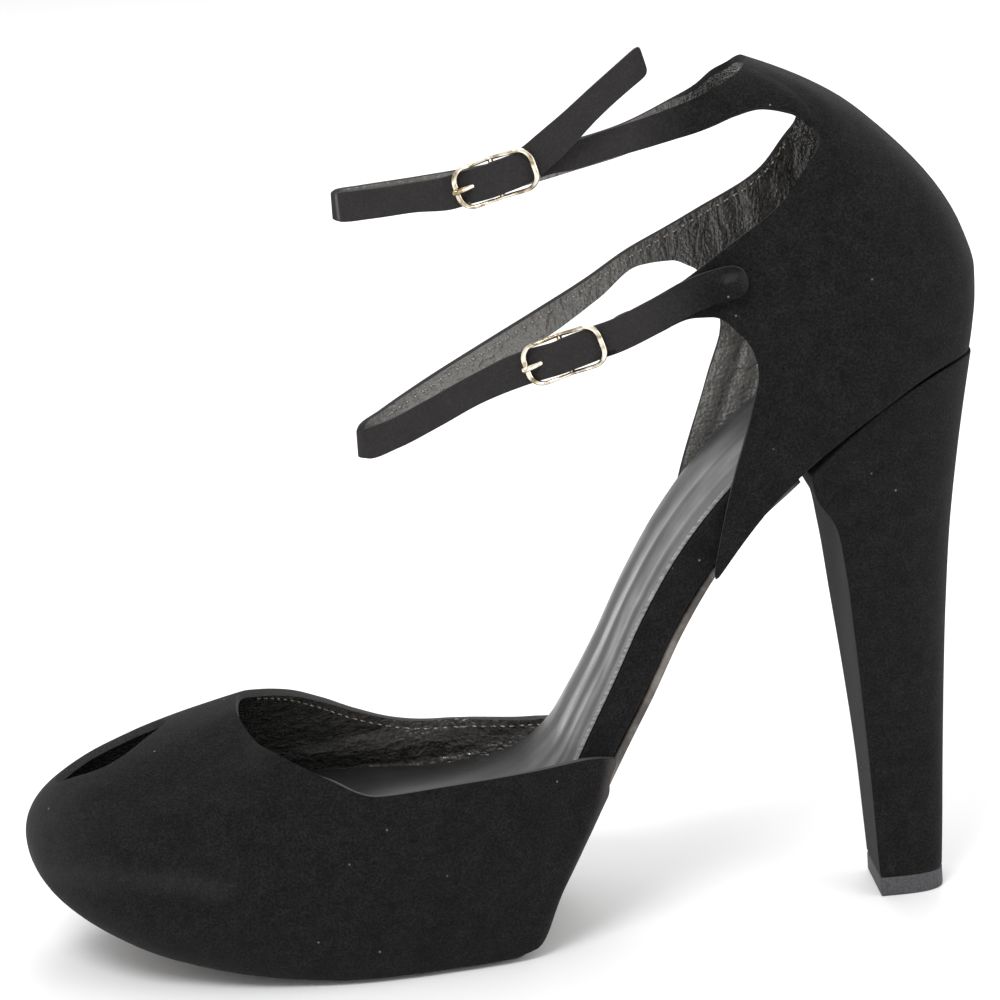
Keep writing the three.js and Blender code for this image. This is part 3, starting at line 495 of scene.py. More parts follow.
@dataclass(frozen=True)
class BlackSuede(Finish):
    """Calf suede, dyed black and brushed: a soft matt nap, paler on the straps from use and where
    highlights are painted.
    """

    name: str = "black brushed calf suede"
    roughness: float = 0.95
    dark: str = "0b0b0b"
    tip: str = "1f1e1f"
    wear_and_highlight: str = "5a5756"
    lint: str = "6c6966"
    sheen: str = "b9b4b6"

    def paint(self, tree: NodeTree, shader: Node) -> None:
        """Draw tufts of 0.5 mm, brushed patches of 4.5 mm, paler places from use, painted highlights and a
        few flecks of lint.
        """
        space = self.object_space(tree)
        tufts = add_node(tree, NOISE, Vector=space, Scale=per_mm(0.5), Detail=4.0, Roughness=0.7)
        brushed = add_node(tree, NOISE, Vector=space, Scale=per_mm(4.5), Detail=6.0, Roughness=0.7)
        tone = add_node(tree, RAMP, {"stops": ((0.4, self.dark), (0.66, self.tip))}, Fac=tufts)
        patches = add_node(tree, RAMP, {"stops": ((0.34, 0.72), (0.67, 1.32))}, Fac=brushed)
        nap = add_node(tree, MIX, SHADES, i0=1.0, i6=tone, i7=patches)
        # Paler nap where the mesh attribute says: strap use, and painted highlights on the vamp and the
        # upper strap's folded front.
        wear_and_highlight_mask = add_node(tree, MARK, {"attribute_name": "wear_and_highlight"}).outputs["Fac"]
        worn_and_highlit = add_node(tree, MIX, COLOURS, i0=wear_and_highlight_mask, i6=nap.outputs[2], i7=linear(self.wear_and_highlight))
        spots = add_node(tree, CELLS, Vector=space, Scale=per_mm(8), Randomness=1.0)
        fleck = add_node(tree, RAMP, {"stops": ((0.018, 1.0), (0.04, 0.0))}, Fac=spots)
        flecked = add_node(tree, MIX, COLOURS, i0=fleck, i6=worn_and_highlit.outputs[2], i7=linear(self.lint))
        fine = add_node(tree, BUMP, Height=tufts, Strength=0.5, Distance=0.0003)
        plug(tree, shader, Specular_IOR_Level=0.1, Sheen_Weight=0.1, Sheen_Roughness=0.5,
             Sheen_Tint=linear(self.sheen), Base_Color=flecked.outputs[2], Normal=fine)


@dataclass(frozen=True)
class CutEdge(Finish):
    """Raw cut edge of suede and lining: dull dark grey fibre, paler than the dyed nap."""

    name: str = "raw cut suede edge"
    roughness: float = 0.85

    def paint(self, tree: NodeTree, shader: Node) -> None:
        """Draw short fibres of 0.4 mm in two greys."""
        fibre = add_node(tree, NOISE, Vector=self.object_space(tree), Scale=per_mm(0.4), Detail=3.0)
        tone = add_node(tree, RAMP, {"stops": ((0.35, "191818"), (0.7, "353332"))}, Fac=fibre)
        plug(tree, shader, Base_Color=tone)


@dataclass(frozen=True)
class LiningLeather(Finish):
    """Glazed goat lining, dark grey: a close pebbled grain that wrinkles and sparkles."""

    name: str = "glazed black goat lining"
    roughness: float = 0.36
    dark: str = "2b2a29"
    light: str = "5c5a57"
    worn_and_highlit: str = "96938e"

    def paint(self, tree: NodeTree, shader: Node) -> None:
        """Draw cells of 0.8 mm, wrinkles 1.9 mm apart, painted shade in their pits and valleys, and paler
        patches.

        The wrinkles stand upright in the straps and lie level below them. The paler patches
        are strap use on the straps and painted sheen on the cup's low wings.
        """
        space = self.object_space(tree)
        upright = add_node(tree, NOISE, Vector=self.object_space(tree, (1.0, 1.0, 0.34)),
                           Scale=per_mm(1.9), Detail=3.0, Roughness=0.55, Distortion=0.7)
        level = add_node(tree, NOISE, Vector=self.object_space(tree, (0.55, 1.0, 1.0)),
                         Scale=per_mm(1.9), Detail=2.0, Roughness=0.5, Distortion=0.4)
        place = add_node(tree, AXES, Vector=space).outputs
        straps = add_node(tree, RANGE, i0=place["Z"], i1=0.128, i2=0.142)
        folds = add_node(tree, MIX, VALUES, i0=straps, i2=level, i3=upright)
        pebble = add_node(tree, CELLS, {"feature": "SMOOTH_F1"}, Vector=space, Scale=per_mm(0.8),
                          Smoothness=0.3)
        # The tone is darker in the grain's pits and the wrinkles' valleys: painted shade over the leather's
        # own mottle.
        mottle_and_painted_shade = add_node(tree, MATH, {"operation": "MULTIPLY_ADD"}, i0=pebble, i1=-0.5, i2=folds)
        tone = add_node(tree, RAMP, {"stops": ((0.0, self.dark), (0.75, self.light))}, Fac=mottle_and_painted_shade)
        wear_and_highlight_mask = add_node(tree, MARK, {"attribute_name": "wear_and_highlight"}).outputs["Fac"]
        # Painted sheen: a paler tone on the cup's low rear wings stands in for the glaze's glints.
        rear = add_node(tree, RANGE, i0=place["X"], i1=0.05, i2=0.07, i3=0.0, i4=0.3)
        wings = add_node(tree, RANGE, i0=place["Z"], i1=0.14, i2=0.125, i3=0.0, i4=1.0)
        painted_wing_sheen = add_node(tree, MATH, {"operation": "MULTIPLY"}, i0=rear, i1=wings)
        share = add_node(tree, MATH, {"operation": "MULTIPLY_ADD", "use_clamp": True}, i0=wear_and_highlight_mask,
                         i1=1.5, i2=painted_wing_sheen)
        worn_and_highlit = add_node(tree, MIX, COLOURS, i0=share, i6=tone, i7=linear(self.worn_and_highlit))
        shine = add_node(tree, RAMP, {"stops": ((0.35, 0.34), (0.65, 0.12))}, Fac=folds)
        wrinkle = add_node(tree, BUMP, Height=folds, Strength=0.85, Distance=0.0009)
        grain = add_node(tree, BUMP, {"invert": True}, Height=pebble, Strength=0.7, Distance=0.00022,
                         Normal=wrinkle)
        plug(tree, shader, Specular_IOR_Level=0.85, Base_Color=worn_and_highlit.outputs[2], Roughness=shine,
             Normal=grain)


@dataclass(frozen=True)
class InsoleLeather(Finish):
    """Smooth dark grey kid insole: a satin glaze, with painted sheen in long soft bands and painted shade
    over the ball of the foot.
    """

    name: str = "grey satin kid insole"
    roughness: float = 0.34
    deep: str = "2d2d2e"
    pale: str = "4f4f50"

    def paint(self, tree: NodeTree, shader: Node) -> None:
        """Draw painted sheen bands 10 mm wide along the foot over a random tone cloud, painted shade on the
        low ball of the foot under the vamp, and a faint grain.
        """
        space = self.object_space(tree)
        # Painted sheen: pale and dark bands along the foot in the colour, mixed with a random tone cloud;
        # they also set the roughness.
        painted_sheen_streaks = add_node(tree, NOISE, Vector=self.surface_space(tree, (1.0, 0.09, 1.0)),
                           Scale=per_mm(10.0), Detail=1.0, Roughness=0.4)
        cloud = add_node(tree, NOISE, Vector=space, Scale=per_mm(9), Detail=3.0, Roughness=0.5)
        both = add_node(tree, MIX, VALUES, i0=0.25, i2=painted_sheen_streaks, i3=cloud)
        tone = add_node(tree, RAMP, {"stops": ((0.4, self.deep), (0.62, self.pale))}, Fac=both)
        # Painted shade: the colour darkens towards the low ball of the foot, which lies in the vamp's
        # shadow.
        height = add_node(tree, AXES, Vector=space).outputs["Z"]
        painted_ball_shade = add_node(tree, RANGE, i0=height, i1=0.029, i2=0.046, i3=0.42, i4=1.0)
        shade = add_node(tree, MIX, SHADES, i0=1.0, i6=tone, i7=painted_ball_shade)
        shine = add_node(tree, RAMP, {"stops": ((0.38, 0.5), (0.64, 0.24))}, Fac=both)
        pores = add_node(tree, CELLS, {"feature": "SMOOTH_F1"}, Vector=space, Scale=per_mm(0.9))
        grain = add_node(tree, BUMP, Height=pores, Strength=0.2, Distance=0.0001)
        rub = add_node(tree, BUMP, Height=cloud, Strength=0.2, Distance=0.0004, Normal=grain)
        plug(tree, shader, Specular_IOR_Level=0.5, Base_Color=shade.outputs[2], Roughness=shine,
             Normal=rub)


@dataclass(frozen=True)
class InsoleEdge(Finish):
    """Skived edge of the insole: the same leather where its paler core shows, and a painted highlight along
    the insole's bright side edge.
    """

    name: str = "pale skived insole edge and highlight"
    roughness: float = 0.6

    def paint(self, tree: NodeTree, shader: Node) -> None:
        """Draw fine layers of 0.6 mm in pale greys, drawn out along the shoe."""
        layers = add_node(tree, NOISE, Vector=self.object_space(tree, (0.3, 1.0, 1.0)),
                          Scale=per_mm(0.6), Detail=3.0)
        tone = add_node(tree, RAMP, {"stops": ((0.35, "5f5e5d"), (0.7, "8e8d8b"))}, Fac=layers)
        plug(tree, shader, Base_Color=tone)


@dataclass(frozen=True)
class WaxedThread(Finish):
    """Waxed grey thread: small twisted strands that catch the light."""

    name: str = "waxed grey thread"
    roughness: float = 0.45

    def paint(self, tree: NodeTree, shader: Node) -> None:
        """Draw a twist of 0.3 mm in two greys."""
        strand = add_node(tree, TWIST, {"bands_direction": "DIAGONAL"}, Vector=self.object_space(tree),
                          Scale=per_mm(0.3) / 6, Distortion=1.0)
        tone = add_node(tree, RAMP, {"stops": ((0.3, "57524b"), (0.7, "9c958b"))},
                        Fac=strand.outputs["Fac"])
        plug(tree, shader, Base_Color=tone)


@dataclass(frozen=True)
class SoleLeather(Finish):
    """Dyed and waxed sole leather: dark, close grained, grey where it is scuffed."""

    name: str = "waxed dark sole leather"
    roughness: float = 0.45
    deep: str = "393532"
    scuffed: str = "78716b"

    def paint(self, tree: NodeTree, shader: Node) -> None:
        """Draw fine fibre along the sole, scuffs of 9 mm and a waxed sheen."""
        fibre = add_node(tree, NOISE, Vector=self.object_space(tree, (0.22, 1.0, 1.0)),
                         Scale=per_mm(0.7), Detail=4.0, Roughness=0.6)
        scuffs = add_node(tree, NOISE, Vector=self.object_space(tree), Scale=per_mm(9), Detail=6.0,
                          Roughness=0.72)
        tone = add_node(tree, RAMP, {"stops": ((0.42, self.deep), (0.72, self.scuffed))}, Fac=scuffs)
        shine = add_node(tree, RAMP, {"stops": ((0.35, 0.38), (0.7, 0.62))}, Fac=scuffs)
        bump = add_node(tree, BUMP, Height=fibre, Strength=0.3, Distance=0.00015)
        plug(tree, shader, Base_Color=tone, Roughness=shine, Normal=bump)


@dataclass(frozen=True)
class LiftRubber(Finish):
    """Pressed rubber top lift: matt dark grey with ground edges."""

    name: str = "pressed grey lift rubber"
    roughness: float = 0.72
    dark: str = "2c2c2e"
    light: str = "4e4e51"

    def paint(self, tree: NodeTree, shader: Node) -> None:
        """Draw a fine ground grit of 0.5 mm."""
        grit = add_node(tree, NOISE, Vector=self.object_space(tree), Scale=per_mm(0.5), Detail=4.0,
                        Roughness=0.7)
        tone = add_node(tree, RAMP, {"stops": ((0.35, self.dark), (0.75, self.light))}, Fac=grit)
        bump = add_node(tree, BUMP, Height=grit, Strength=0.35, Distance=0.00015)
        plug(tree, shader, Base_Color=tone, Normal=bump)


@dataclass(frozen=True)
class PaleGold(Finish):
    """Die-cast zinc, polished and plated pale gold: bright, with painted dark reflections and faint
    polishing lines.
    """

    name: str = "polished pale gold plate"
    metallic: float = 1.0
    roughness: float = 0.14
    body: str = "efe6d3"
    shade: str = "917f62"

    def paint(self, tree: NodeTree, shader: Node) -> None:
        """Draw painted dark reflections in a cloud of 2.6 mm, and hairlines of 0.2 mm in the roughness."""
        # The dark end of this cloud is a painted reflection of the dark suede around the buckle.
        cloud = add_node(tree, NOISE, Vector=self.object_space(tree), Scale=per_mm(2.6), Detail=2.0)
        hair = add_node(tree, NOISE, Vector=self.object_space(tree, (0.15, 1.0, 1.0)),
                        Scale=per_mm(0.2), Detail=2.0)
        tone = add_node(tree, RAMP, {"stops": ((0.38, self.shade), (0.56, self.body))}, Fac=cloud)
        shine = add_node(tree, RAMP, {"stops": ((0.35, 0.08), (0.7, 0.2))}, Fac=hair)
        plug(tree, shader, Base_Color=tone, Roughness=shine)


@dataclass(frozen=True)
class CorkCore(Finish):
    """Pressed black cork core: dark brown crumb, seen only in the gap behind the vamp."""

    name: str = "pressed black cork core"
    roughness: float = 0.9

    def paint(self, tree: NodeTree, shader: Node) -> None:
        """Draw crumbs of 1.5 mm in two browns."""
        crumb = add_node(tree, CELLS, Vector=self.object_space(tree), Scale=per_mm(1.5))
        tone = add_node(tree, RAMP, {"stops": ((0.2, "241e19"), (0.8, "3c332b"))},
                        Fac=crumb.outputs["Color"])
        plug(tree, shader, Base_Color=tone)


@dataclass
class Finishes:
    """The shoe's materials, made once."""

    suede: Material = field(default_factory=BlackSuede().build)
    cut: Material = field(default_factory=CutEdge().build)
    lining: Material = field(default_factory=LiningLeather().build)
    insole: Material = field(default_factory=InsoleLeather().build)
    insole_edge: Material = field(default_factory=InsoleEdge().build)
    thread: Material = field(default_factory=WaxedThread().build)
    sole: Material = field(default_factory=SoleLeather().build)
    rubber: Material = field(default_factory=LiftRubber().build)
    gold: Material = field(default_factory=PaleGold().build)
    core: Material = field(default_factory=CorkCore().build)


@dataclass
class Stitching:
    """A row of short thread stitches laid along a line."""

    finishes: Finishes
    pitch: float = 2.3
    length: float = 1.5
    thread: float = 0.46
    sides: int = 8
    rings: int = 6

    def build(self, name: str, line: Sequence[Vector], outs: Sequence[Vector]) -> None:
        """Build the row.

        Args:
            name: Name of the piece.
            line: Points in metres that the row follows.
            outs: The surface's own direction at each point.
        """
        run = measure(line)
        mesh = bmesh.new()
        thick = self.thread / 2 * MM
        sizes = Matrix.Diagonal((self.length / 2 * MM, thick, thick, 1))
        for k in range(int(run[-1] / (self.pitch * MM))):
            reach = (k + 0.5) * self.pitch * MM
            spot = next(i for i in range(1, len(run)) if run[i] >= reach)
            part = (reach - run[spot - 1]) / max(run[spot] - run[spot - 1], 1e-9)
            way = (line[spot] - line[spot - 1]).normalized()
            side = way.cross(outs[spot]).normalized()
            turn = Matrix((way, side, way.cross(side))).transposed().to_4x4()
            place = Matrix.Translation(line[spot - 1].lerp(line[spot], part))
            bmesh.ops.create_uvsphere(mesh, u_segments=self.sides, v_segments=self.rings, radius=1.0,
                                      matrix=place @ turn @ sizes)
        bmesh.ops.recalc_face_normals(mesh, faces=mesh.faces)
        settle(to_object(name, mesh, [self.finishes.thread]), "suede")


# Sole unit.


class SoleRow(NamedTuple):
    """One section of the sole: footbed line f, underside line u, half widths."""

    fx: float
    fz: float
    ux: float
    uz: float
    outer: float
    inner: float
    tread_out: float
    tread_in: float
    leather: float


SOLE_ROWS = (
    SoleRow(-83.4, 35.4, -74.0, 12.9, 3.5, 7.5, 1.5, 5.5, 2.3),
    SoleRow(-82.4, 35.2, -73.4, 12.6, 9.0, 13.0, 6.0, 10.0, 2.3),
    SoleRow(-79.0, 34.5, -70.8, 11.5, 17.2, 21.0, 12.5, 16.5, 2.3),
    SoleRow(-73.4, 33.5, -67.0, 9.8, 24.2, 27.6, 18.0, 21.6, 2.3),
    SoleRow(-64.5, 32.1, -60.0, 7.0, 30.0, 32.4, 23.6, 26.8, 2.3),
    SoleRow(-53.5, 30.6, -51.0, 4.5, 34.6, 36.2, 28.0, 30.4, 2.3),
    SoleRow(-39.5, 29.1, -38.5, 2.3, 38.0, 39.0, 31.7, 33.4, 2.3),
    SoleRow(-25.0, 28.2, -25.0, 0.8, 39.4, 40.2, 33.9, 34.8, 2.3),
    SoleRow(-12.0, 27.8, -11.0, 0.0, 39.4, 39.8, 34.5, 34.9, 2.3),
    SoleRow(0.0, 27.7, 2.0, 0.0, 38.6, 38.4, 33.4, 33.2, 2.3),
    SoleRow(10.0, 28.2, 14.0, 0.0, 36.8, 36.0, 31.5, 30.8, 2.3),
    SoleRow(18.0, 29.6, 21.0, 0.0, 34.6, 33.4, 29.9, 29.0, 2.3),
    SoleRow(24.5, 31.8, 27.4, 3.7, 32.2, 30.8, 27.8, 26.8, 2.3),
    SoleRow(30.0, 35.2, 33.8, 15.0, 29.9, 28.6, 25.2, 24.4, 2.2),
    SoleRow(35.3, 40.4, 41.0, 28.3, 27.4, 26.4, 22.6, 22.0, 2.2),
    SoleRow(40.0, 48.0, 49.6, 43.4, 24.9, 24.4, 20.6, 20.2, 2.1),
    SoleRow(47.0, 60.3, 56.6, 55.2, 23.3, 23.0, 19.4, 19.2, 2),
    SoleRow(55.0, 75.5, 64.6, 70.1, 22.8, 22.8, 19.0, 19.0, 2),
    SoleRow(63.0, 88.2, 72.2, 81.8, 23.0, 23.2, 19.0, 19.2, 1.8),
    SoleRow(72.5, 99.9, 81.0, 92.5, 23.8, 24.0, 19.6, 19.8, 1.5),
    SoleRow(84.5, 111.2, 92.6, 102.6, 24.4, 24.5, 20.2, 20.2, 1),
    SoleRow(98.0, 120.3, 103.5, 112.6, 24.5, 24.5, 20.4, 20.4, 0),
    SoleRow(111.0, 126.9, 114.5, 119.9, 23.4, 23.4, 19.2, 19.2, 0),
    SoleRow(121.0, 130.4, 123.3, 123.9, 20.4, 20.4, 15.2, 15.2, 0),
    SoleRow(128.4, 132.0, 129.4, 125.8, 15.4, 15.4, 9.8, 9.8, 0),
    SoleRow(131.4, 132.6, 131.4, 126.2, 10.0, 10.0, 6.2, 6.2, 0),
    SoleRow(132.5, 132.8, 132.2, 126.4, 5.0, 5.0, 3.0, 3.0, 0),
)


@dataclass
class SoleUnit:
    """Outsole, covered board and insole, all drawn from the same sections."""

    finishes: Finishes
    rows: tuple[SoleRow, ...] = SOLE_ROWS
    platform_end: float = 13.0
    breast_row: float = 20.0
    wall: float = WALL
    gap: float = GAP
    sock: float = 1.0
    board_thin: float = 2.4
    board_step: float = 1.2
    sock_step: float = 1.2
    least_half: float = 0.8
    tread_round: float = 0.7
    board_round: float = 1.1
    sock_round: float = 0.3
    tread_rings: int = 120
    board_rings: tuple[int, int] = (70, 110)
    sock_rings: int = 200
    sock_sides: int = 34
    bands_middle: float = 17.5
    bands_reach: float = 5.0
    band_width: float = 15.0
    fine_band_width: float = 7.0
    bands_lift: float = 0.35
    bands_depth: float = 0.2
    sway: tuple[float, float] = (2.2, 1.1)
    spline: Spline = field(init=False)

    def __post_init__(self) -> None:
        """Read the sections."""
        self.spline = Spline(self.rows)

    def station(self, t: float) -> tuple[SoleRow, Vector, Vector, Vector]:
        """Return the section at t.

        Args:
            t: Place along the sole, counted in rows.

        Returns:
            The row, the footbed point, the underside point and the way up.
        """
        row = SoleRow(*self.spline.at(t))
        top, under = Vector((row.fx, 0, row.fz)), Vector((row.ux, 0, row.uz))
        return row, top, under, (top - under).normalized()

    def half_widths(self, row: SoleRow, cover: float) -> tuple[float, float]:
        """Return the footbed's half widths, outer and inner, less a cover at its edge."""
        return max(row.outer - cover, self.least_half), max(row.inner - cover, self.least_half)

    def seat_height(self, x: float) -> float:
        """Return the height of the heel seat's underside at x."""
        low, high = self.breast_row - 1, len(self.rows) - 1.0
        for _ in range(30):
            middle = (low + high) / 2
            if self.spline.at(middle)[2] < x:
                low = middle
            else:
                high = middle
        return self.spline.at(low)[3]

    def section(self, low: Vector, high: Vector, low_sides: tuple[float, float],
                high_sides: tuple[float, float], radius: float,
                swell: Callable[[float], float] | None = None, sides: int = 14) -> list[Vector]:
        """Return one ring round the sole with true-size rounded edges.

        Args:
            low: Underside point on the middle line.
            high: Upper point on the middle line.
            low_sides: Half widths of the underside, outer and inner.
            high_sides: Half widths of the upper side, outer and inner.
            radius: Radius of the edges in millimetres.
            swell: Height of the upper side over flat, by the distance across.
            sides: Steps across.

        Returns:
            Points in metres.
        """
        thick = (high - low).length
        up = (high - low) / thick
        eased = min(radius, thick * 0.49, min(low_sides) * 0.8)
        ring = []
        outline = rounded_outline(-high_sides[0], high_sides[1], 0, thick, eased, 4, sides)
        for across, lift in outline:
            share = min(max(lift / thick, 0), 1)
            side = 0 if across < 0 else 1
            reach = (low_sides[side] + (high_sides[side] - low_sides[side]) * share) / high_sides[side]
            y = across * reach
            rise = lift + (swell(across) if swell and lift > thick * 0.6 else 0)
            point = low + up * rise
            ring.append(Vector((point.x, y, point.z)) * MM)
        return ring

    def build(self) -> None:
        """Build the three pieces and dress the hidden core."""
        self.build_outsole()
        self.build_board()
        self.build_insole()
        core = bpy.data.objects["platform"]
        core.data.materials.clear()
        core.data.materials.append(self.finishes.core)

    def build_outsole(self) -> None:
        """Build the tread, from the toe to the heel's breast."""
        rings = []
        for t in steps(0, self.breast_row, self.tread_rings):
            row, _, under, up = self.station(t)
            sides = (row.tread_out, row.tread_in)
            rings.append(self.section(under, under + up * row.leather, sides, sides, self.tread_round))
        piece = to_object("outsole_leather", loft(rings), [self.finishes.sole])
        settle(piece, "sole_leather", "outsole")

    def build_board(self) -> None:
        """Build the board with its suede-covered edge."""
        rings = []
        thin_end = self.spline.at(self.platform_end)[2] + 0.05
        places = (steps(0, self.platform_end, self.board_rings[0])
                  + steps(self.platform_end + 0.5, len(self.rows) - 1, self.board_rings[1]))
        for t in places:
            row, top, under, up = self.station(t)
            high = top - up * (self.sock + self.gap)
            upper = self.half_widths(row, self.wall + self.gap + 0.2)
            lower = (row.tread_out + self.board_step, row.tread_in + self.board_step)
            thin = row.ux < thin_end
            low = high - up * self.board_thin if thin else under + up * (row.leather + self.gap)
            rings.append(self.section(low, high, lower, upper, self.board_round))
        piece = to_object("suede_covered_board", loft(rings), [self.finishes.suede])
        settle(piece, "suede", "insole_board")

    def build_insole(self) -> None:
        """Build the grey sock, with the long soft bands that the foot has pressed into it."""
        rings = []
        for t in steps(0, len(self.rows) - 1, self.sock_rings):
            row, top, _, up = self.station(t)
            sides = self.half_widths(row, self.wall + self.gap + self.sock_step)
            arch = max(0.0, 1 - ((t - self.bands_middle) / self.bands_reach) ** 2)
            shift = self.sway[0] * math.sin(0.9 * t) + self.sway[1] * math.sin(2.1 * t + 1.0)
            fade = min(sides) - 1.0

            def swell(across: float) -> float:
                """Return how high the bands stand at a distance across."""
                edge = max(0.0, 1 - (across / max(fade, 1.0)) ** 4)
                wave = (math.cos(2 * math.pi * (across - shift) / self.band_width)
                        + 0.15 * math.cos(2 * math.pi * (across + shift) / self.fine_band_width))
                return arch * edge * (self.bands_lift + self.bands_depth * wave)

            rings.append(self.section(top - up * self.sock, top, sides, sides, self.sock_round, swell,
                                      self.sock_sides))
        mesh = loft(rings)
        # The side faces take the pale edge finish: the skived core's own tone, with a painted highlight
        # along the bright edge.
        for face in mesh.faces:
            face.material_index = 1 if abs(face.normal.y) > 0.5 else 0
        piece = to_object("grey_insole", mesh, [self.finishes.insole, self.finishes.insole_edge])
        settle(piece, "insole_leather", "insole")


# Vamp.


class VampRow(NamedTuple):
    """One upright of the vamp: bottom b, widest e, topline t, and the curve's handles."""

    bx: float
    by: float
    bz: float
    ex: float
    ey: float
    ez: float
    tx: float
    ty: float
    tz: float
    rise: float
    lean: float
    pull: float


VAMP_ROWS = (
    VampRow(42.6, -24.9, 32.6, 45.0, -25.5, 37.4, 47.0, -25.2, 43.6, 2, 4, 2),
    VampRow(32.8, -28.2, 14.4, 35.2, -30.2, 27.0, 38.6, -28.2, 44.8, 6, 8, 6),
    VampRow(25.6, -31.4, 2.6, 26.6, -33.9, 21.0, 28.0, -32.4, 44.7, 9, 8, 9),
    VampRow(8.0, -35.4, 1.2, 8.0, -38.9, 19.0, 8.0, -36.6, 44.3, 11, 9, 10),
    VampRow(-12.0, -37.3, 1.3, -14.0, -41.2, 19.0, -7.0, -37.8, 43.7, 11, 14, 10),
    VampRow(-30.0, -36.2, 2.5, -35.0, -40.2, 19.8, -19.0, -33.6, 48.0, 12, 34, 12),
    VampRow(-46.5, -32.6, 4.9, -55.0, -36.0, 21.6, -28.8, -26.8, 52.2, 12, 52, 15),
    VampRow(-61.5, -26.0, 8.3, -71.5, -28.0, 24.9, -33.8, -19.2, 53.8, 12.5, 66, 22),
    VampRow(-73.0, -15.8, 12.9, -83.4, -15.6, 28.2, -37.2, -8.6, 57.9, 12, 74, 28),
    VampRow(-77.8, 2.0, 15.7, -87.8, 2.0, 30.1, -36.6, 2.0, 58.5, 12, 77, 31),
    VampRow(-73.4, 19.6, 13.3, -83.8, 19.6, 28.4, -31.6, 10.4, 56.9, 12, 75, 29),
    VampRow(-62.5, 28.8, 8.8, -72.5, 31.0, 25.4, -24.6, 18.6, 53.8, 12.5, 64, 22),
    VampRow(-48.0, 34.4, 5.2, -56.5, 37.6, 21.8, -17.6, 25.4, 49.4, 12, 50, 16),
    VampRow(-31.0, 37.2, 2.6, -36.0, 41.0, 19.8, -9.6, 31.6, 44.1, 11, 32, 11),
    VampRow(-12.0, 37.6, 1.3, -14.0, 41.2, 19.0, 0.0, 35.6, 39.8, 9, 14, 8),
    VampRow(8.0, 35.0, 1.2, 8.0, 38.2, 18.6, 11.0, 36.0, 38.5, 8, 8, 8),
    VampRow(25.6, 30.6, 2.6, 26.6, 32.8, 20.0, 27.0, 31.4, 38.6, 7, 8, 7),
    VampRow(33.6, 27.4, 14.4, 35.6, 29.0, 25.6, 36.6, 27.4, 39.4, 5, 8, 5),
    VampRow(43.5, 24.2, 32.6, 44.4, 24.6, 36.0, 45.4, 24.4, 40.8, 2, 4, 2),
)


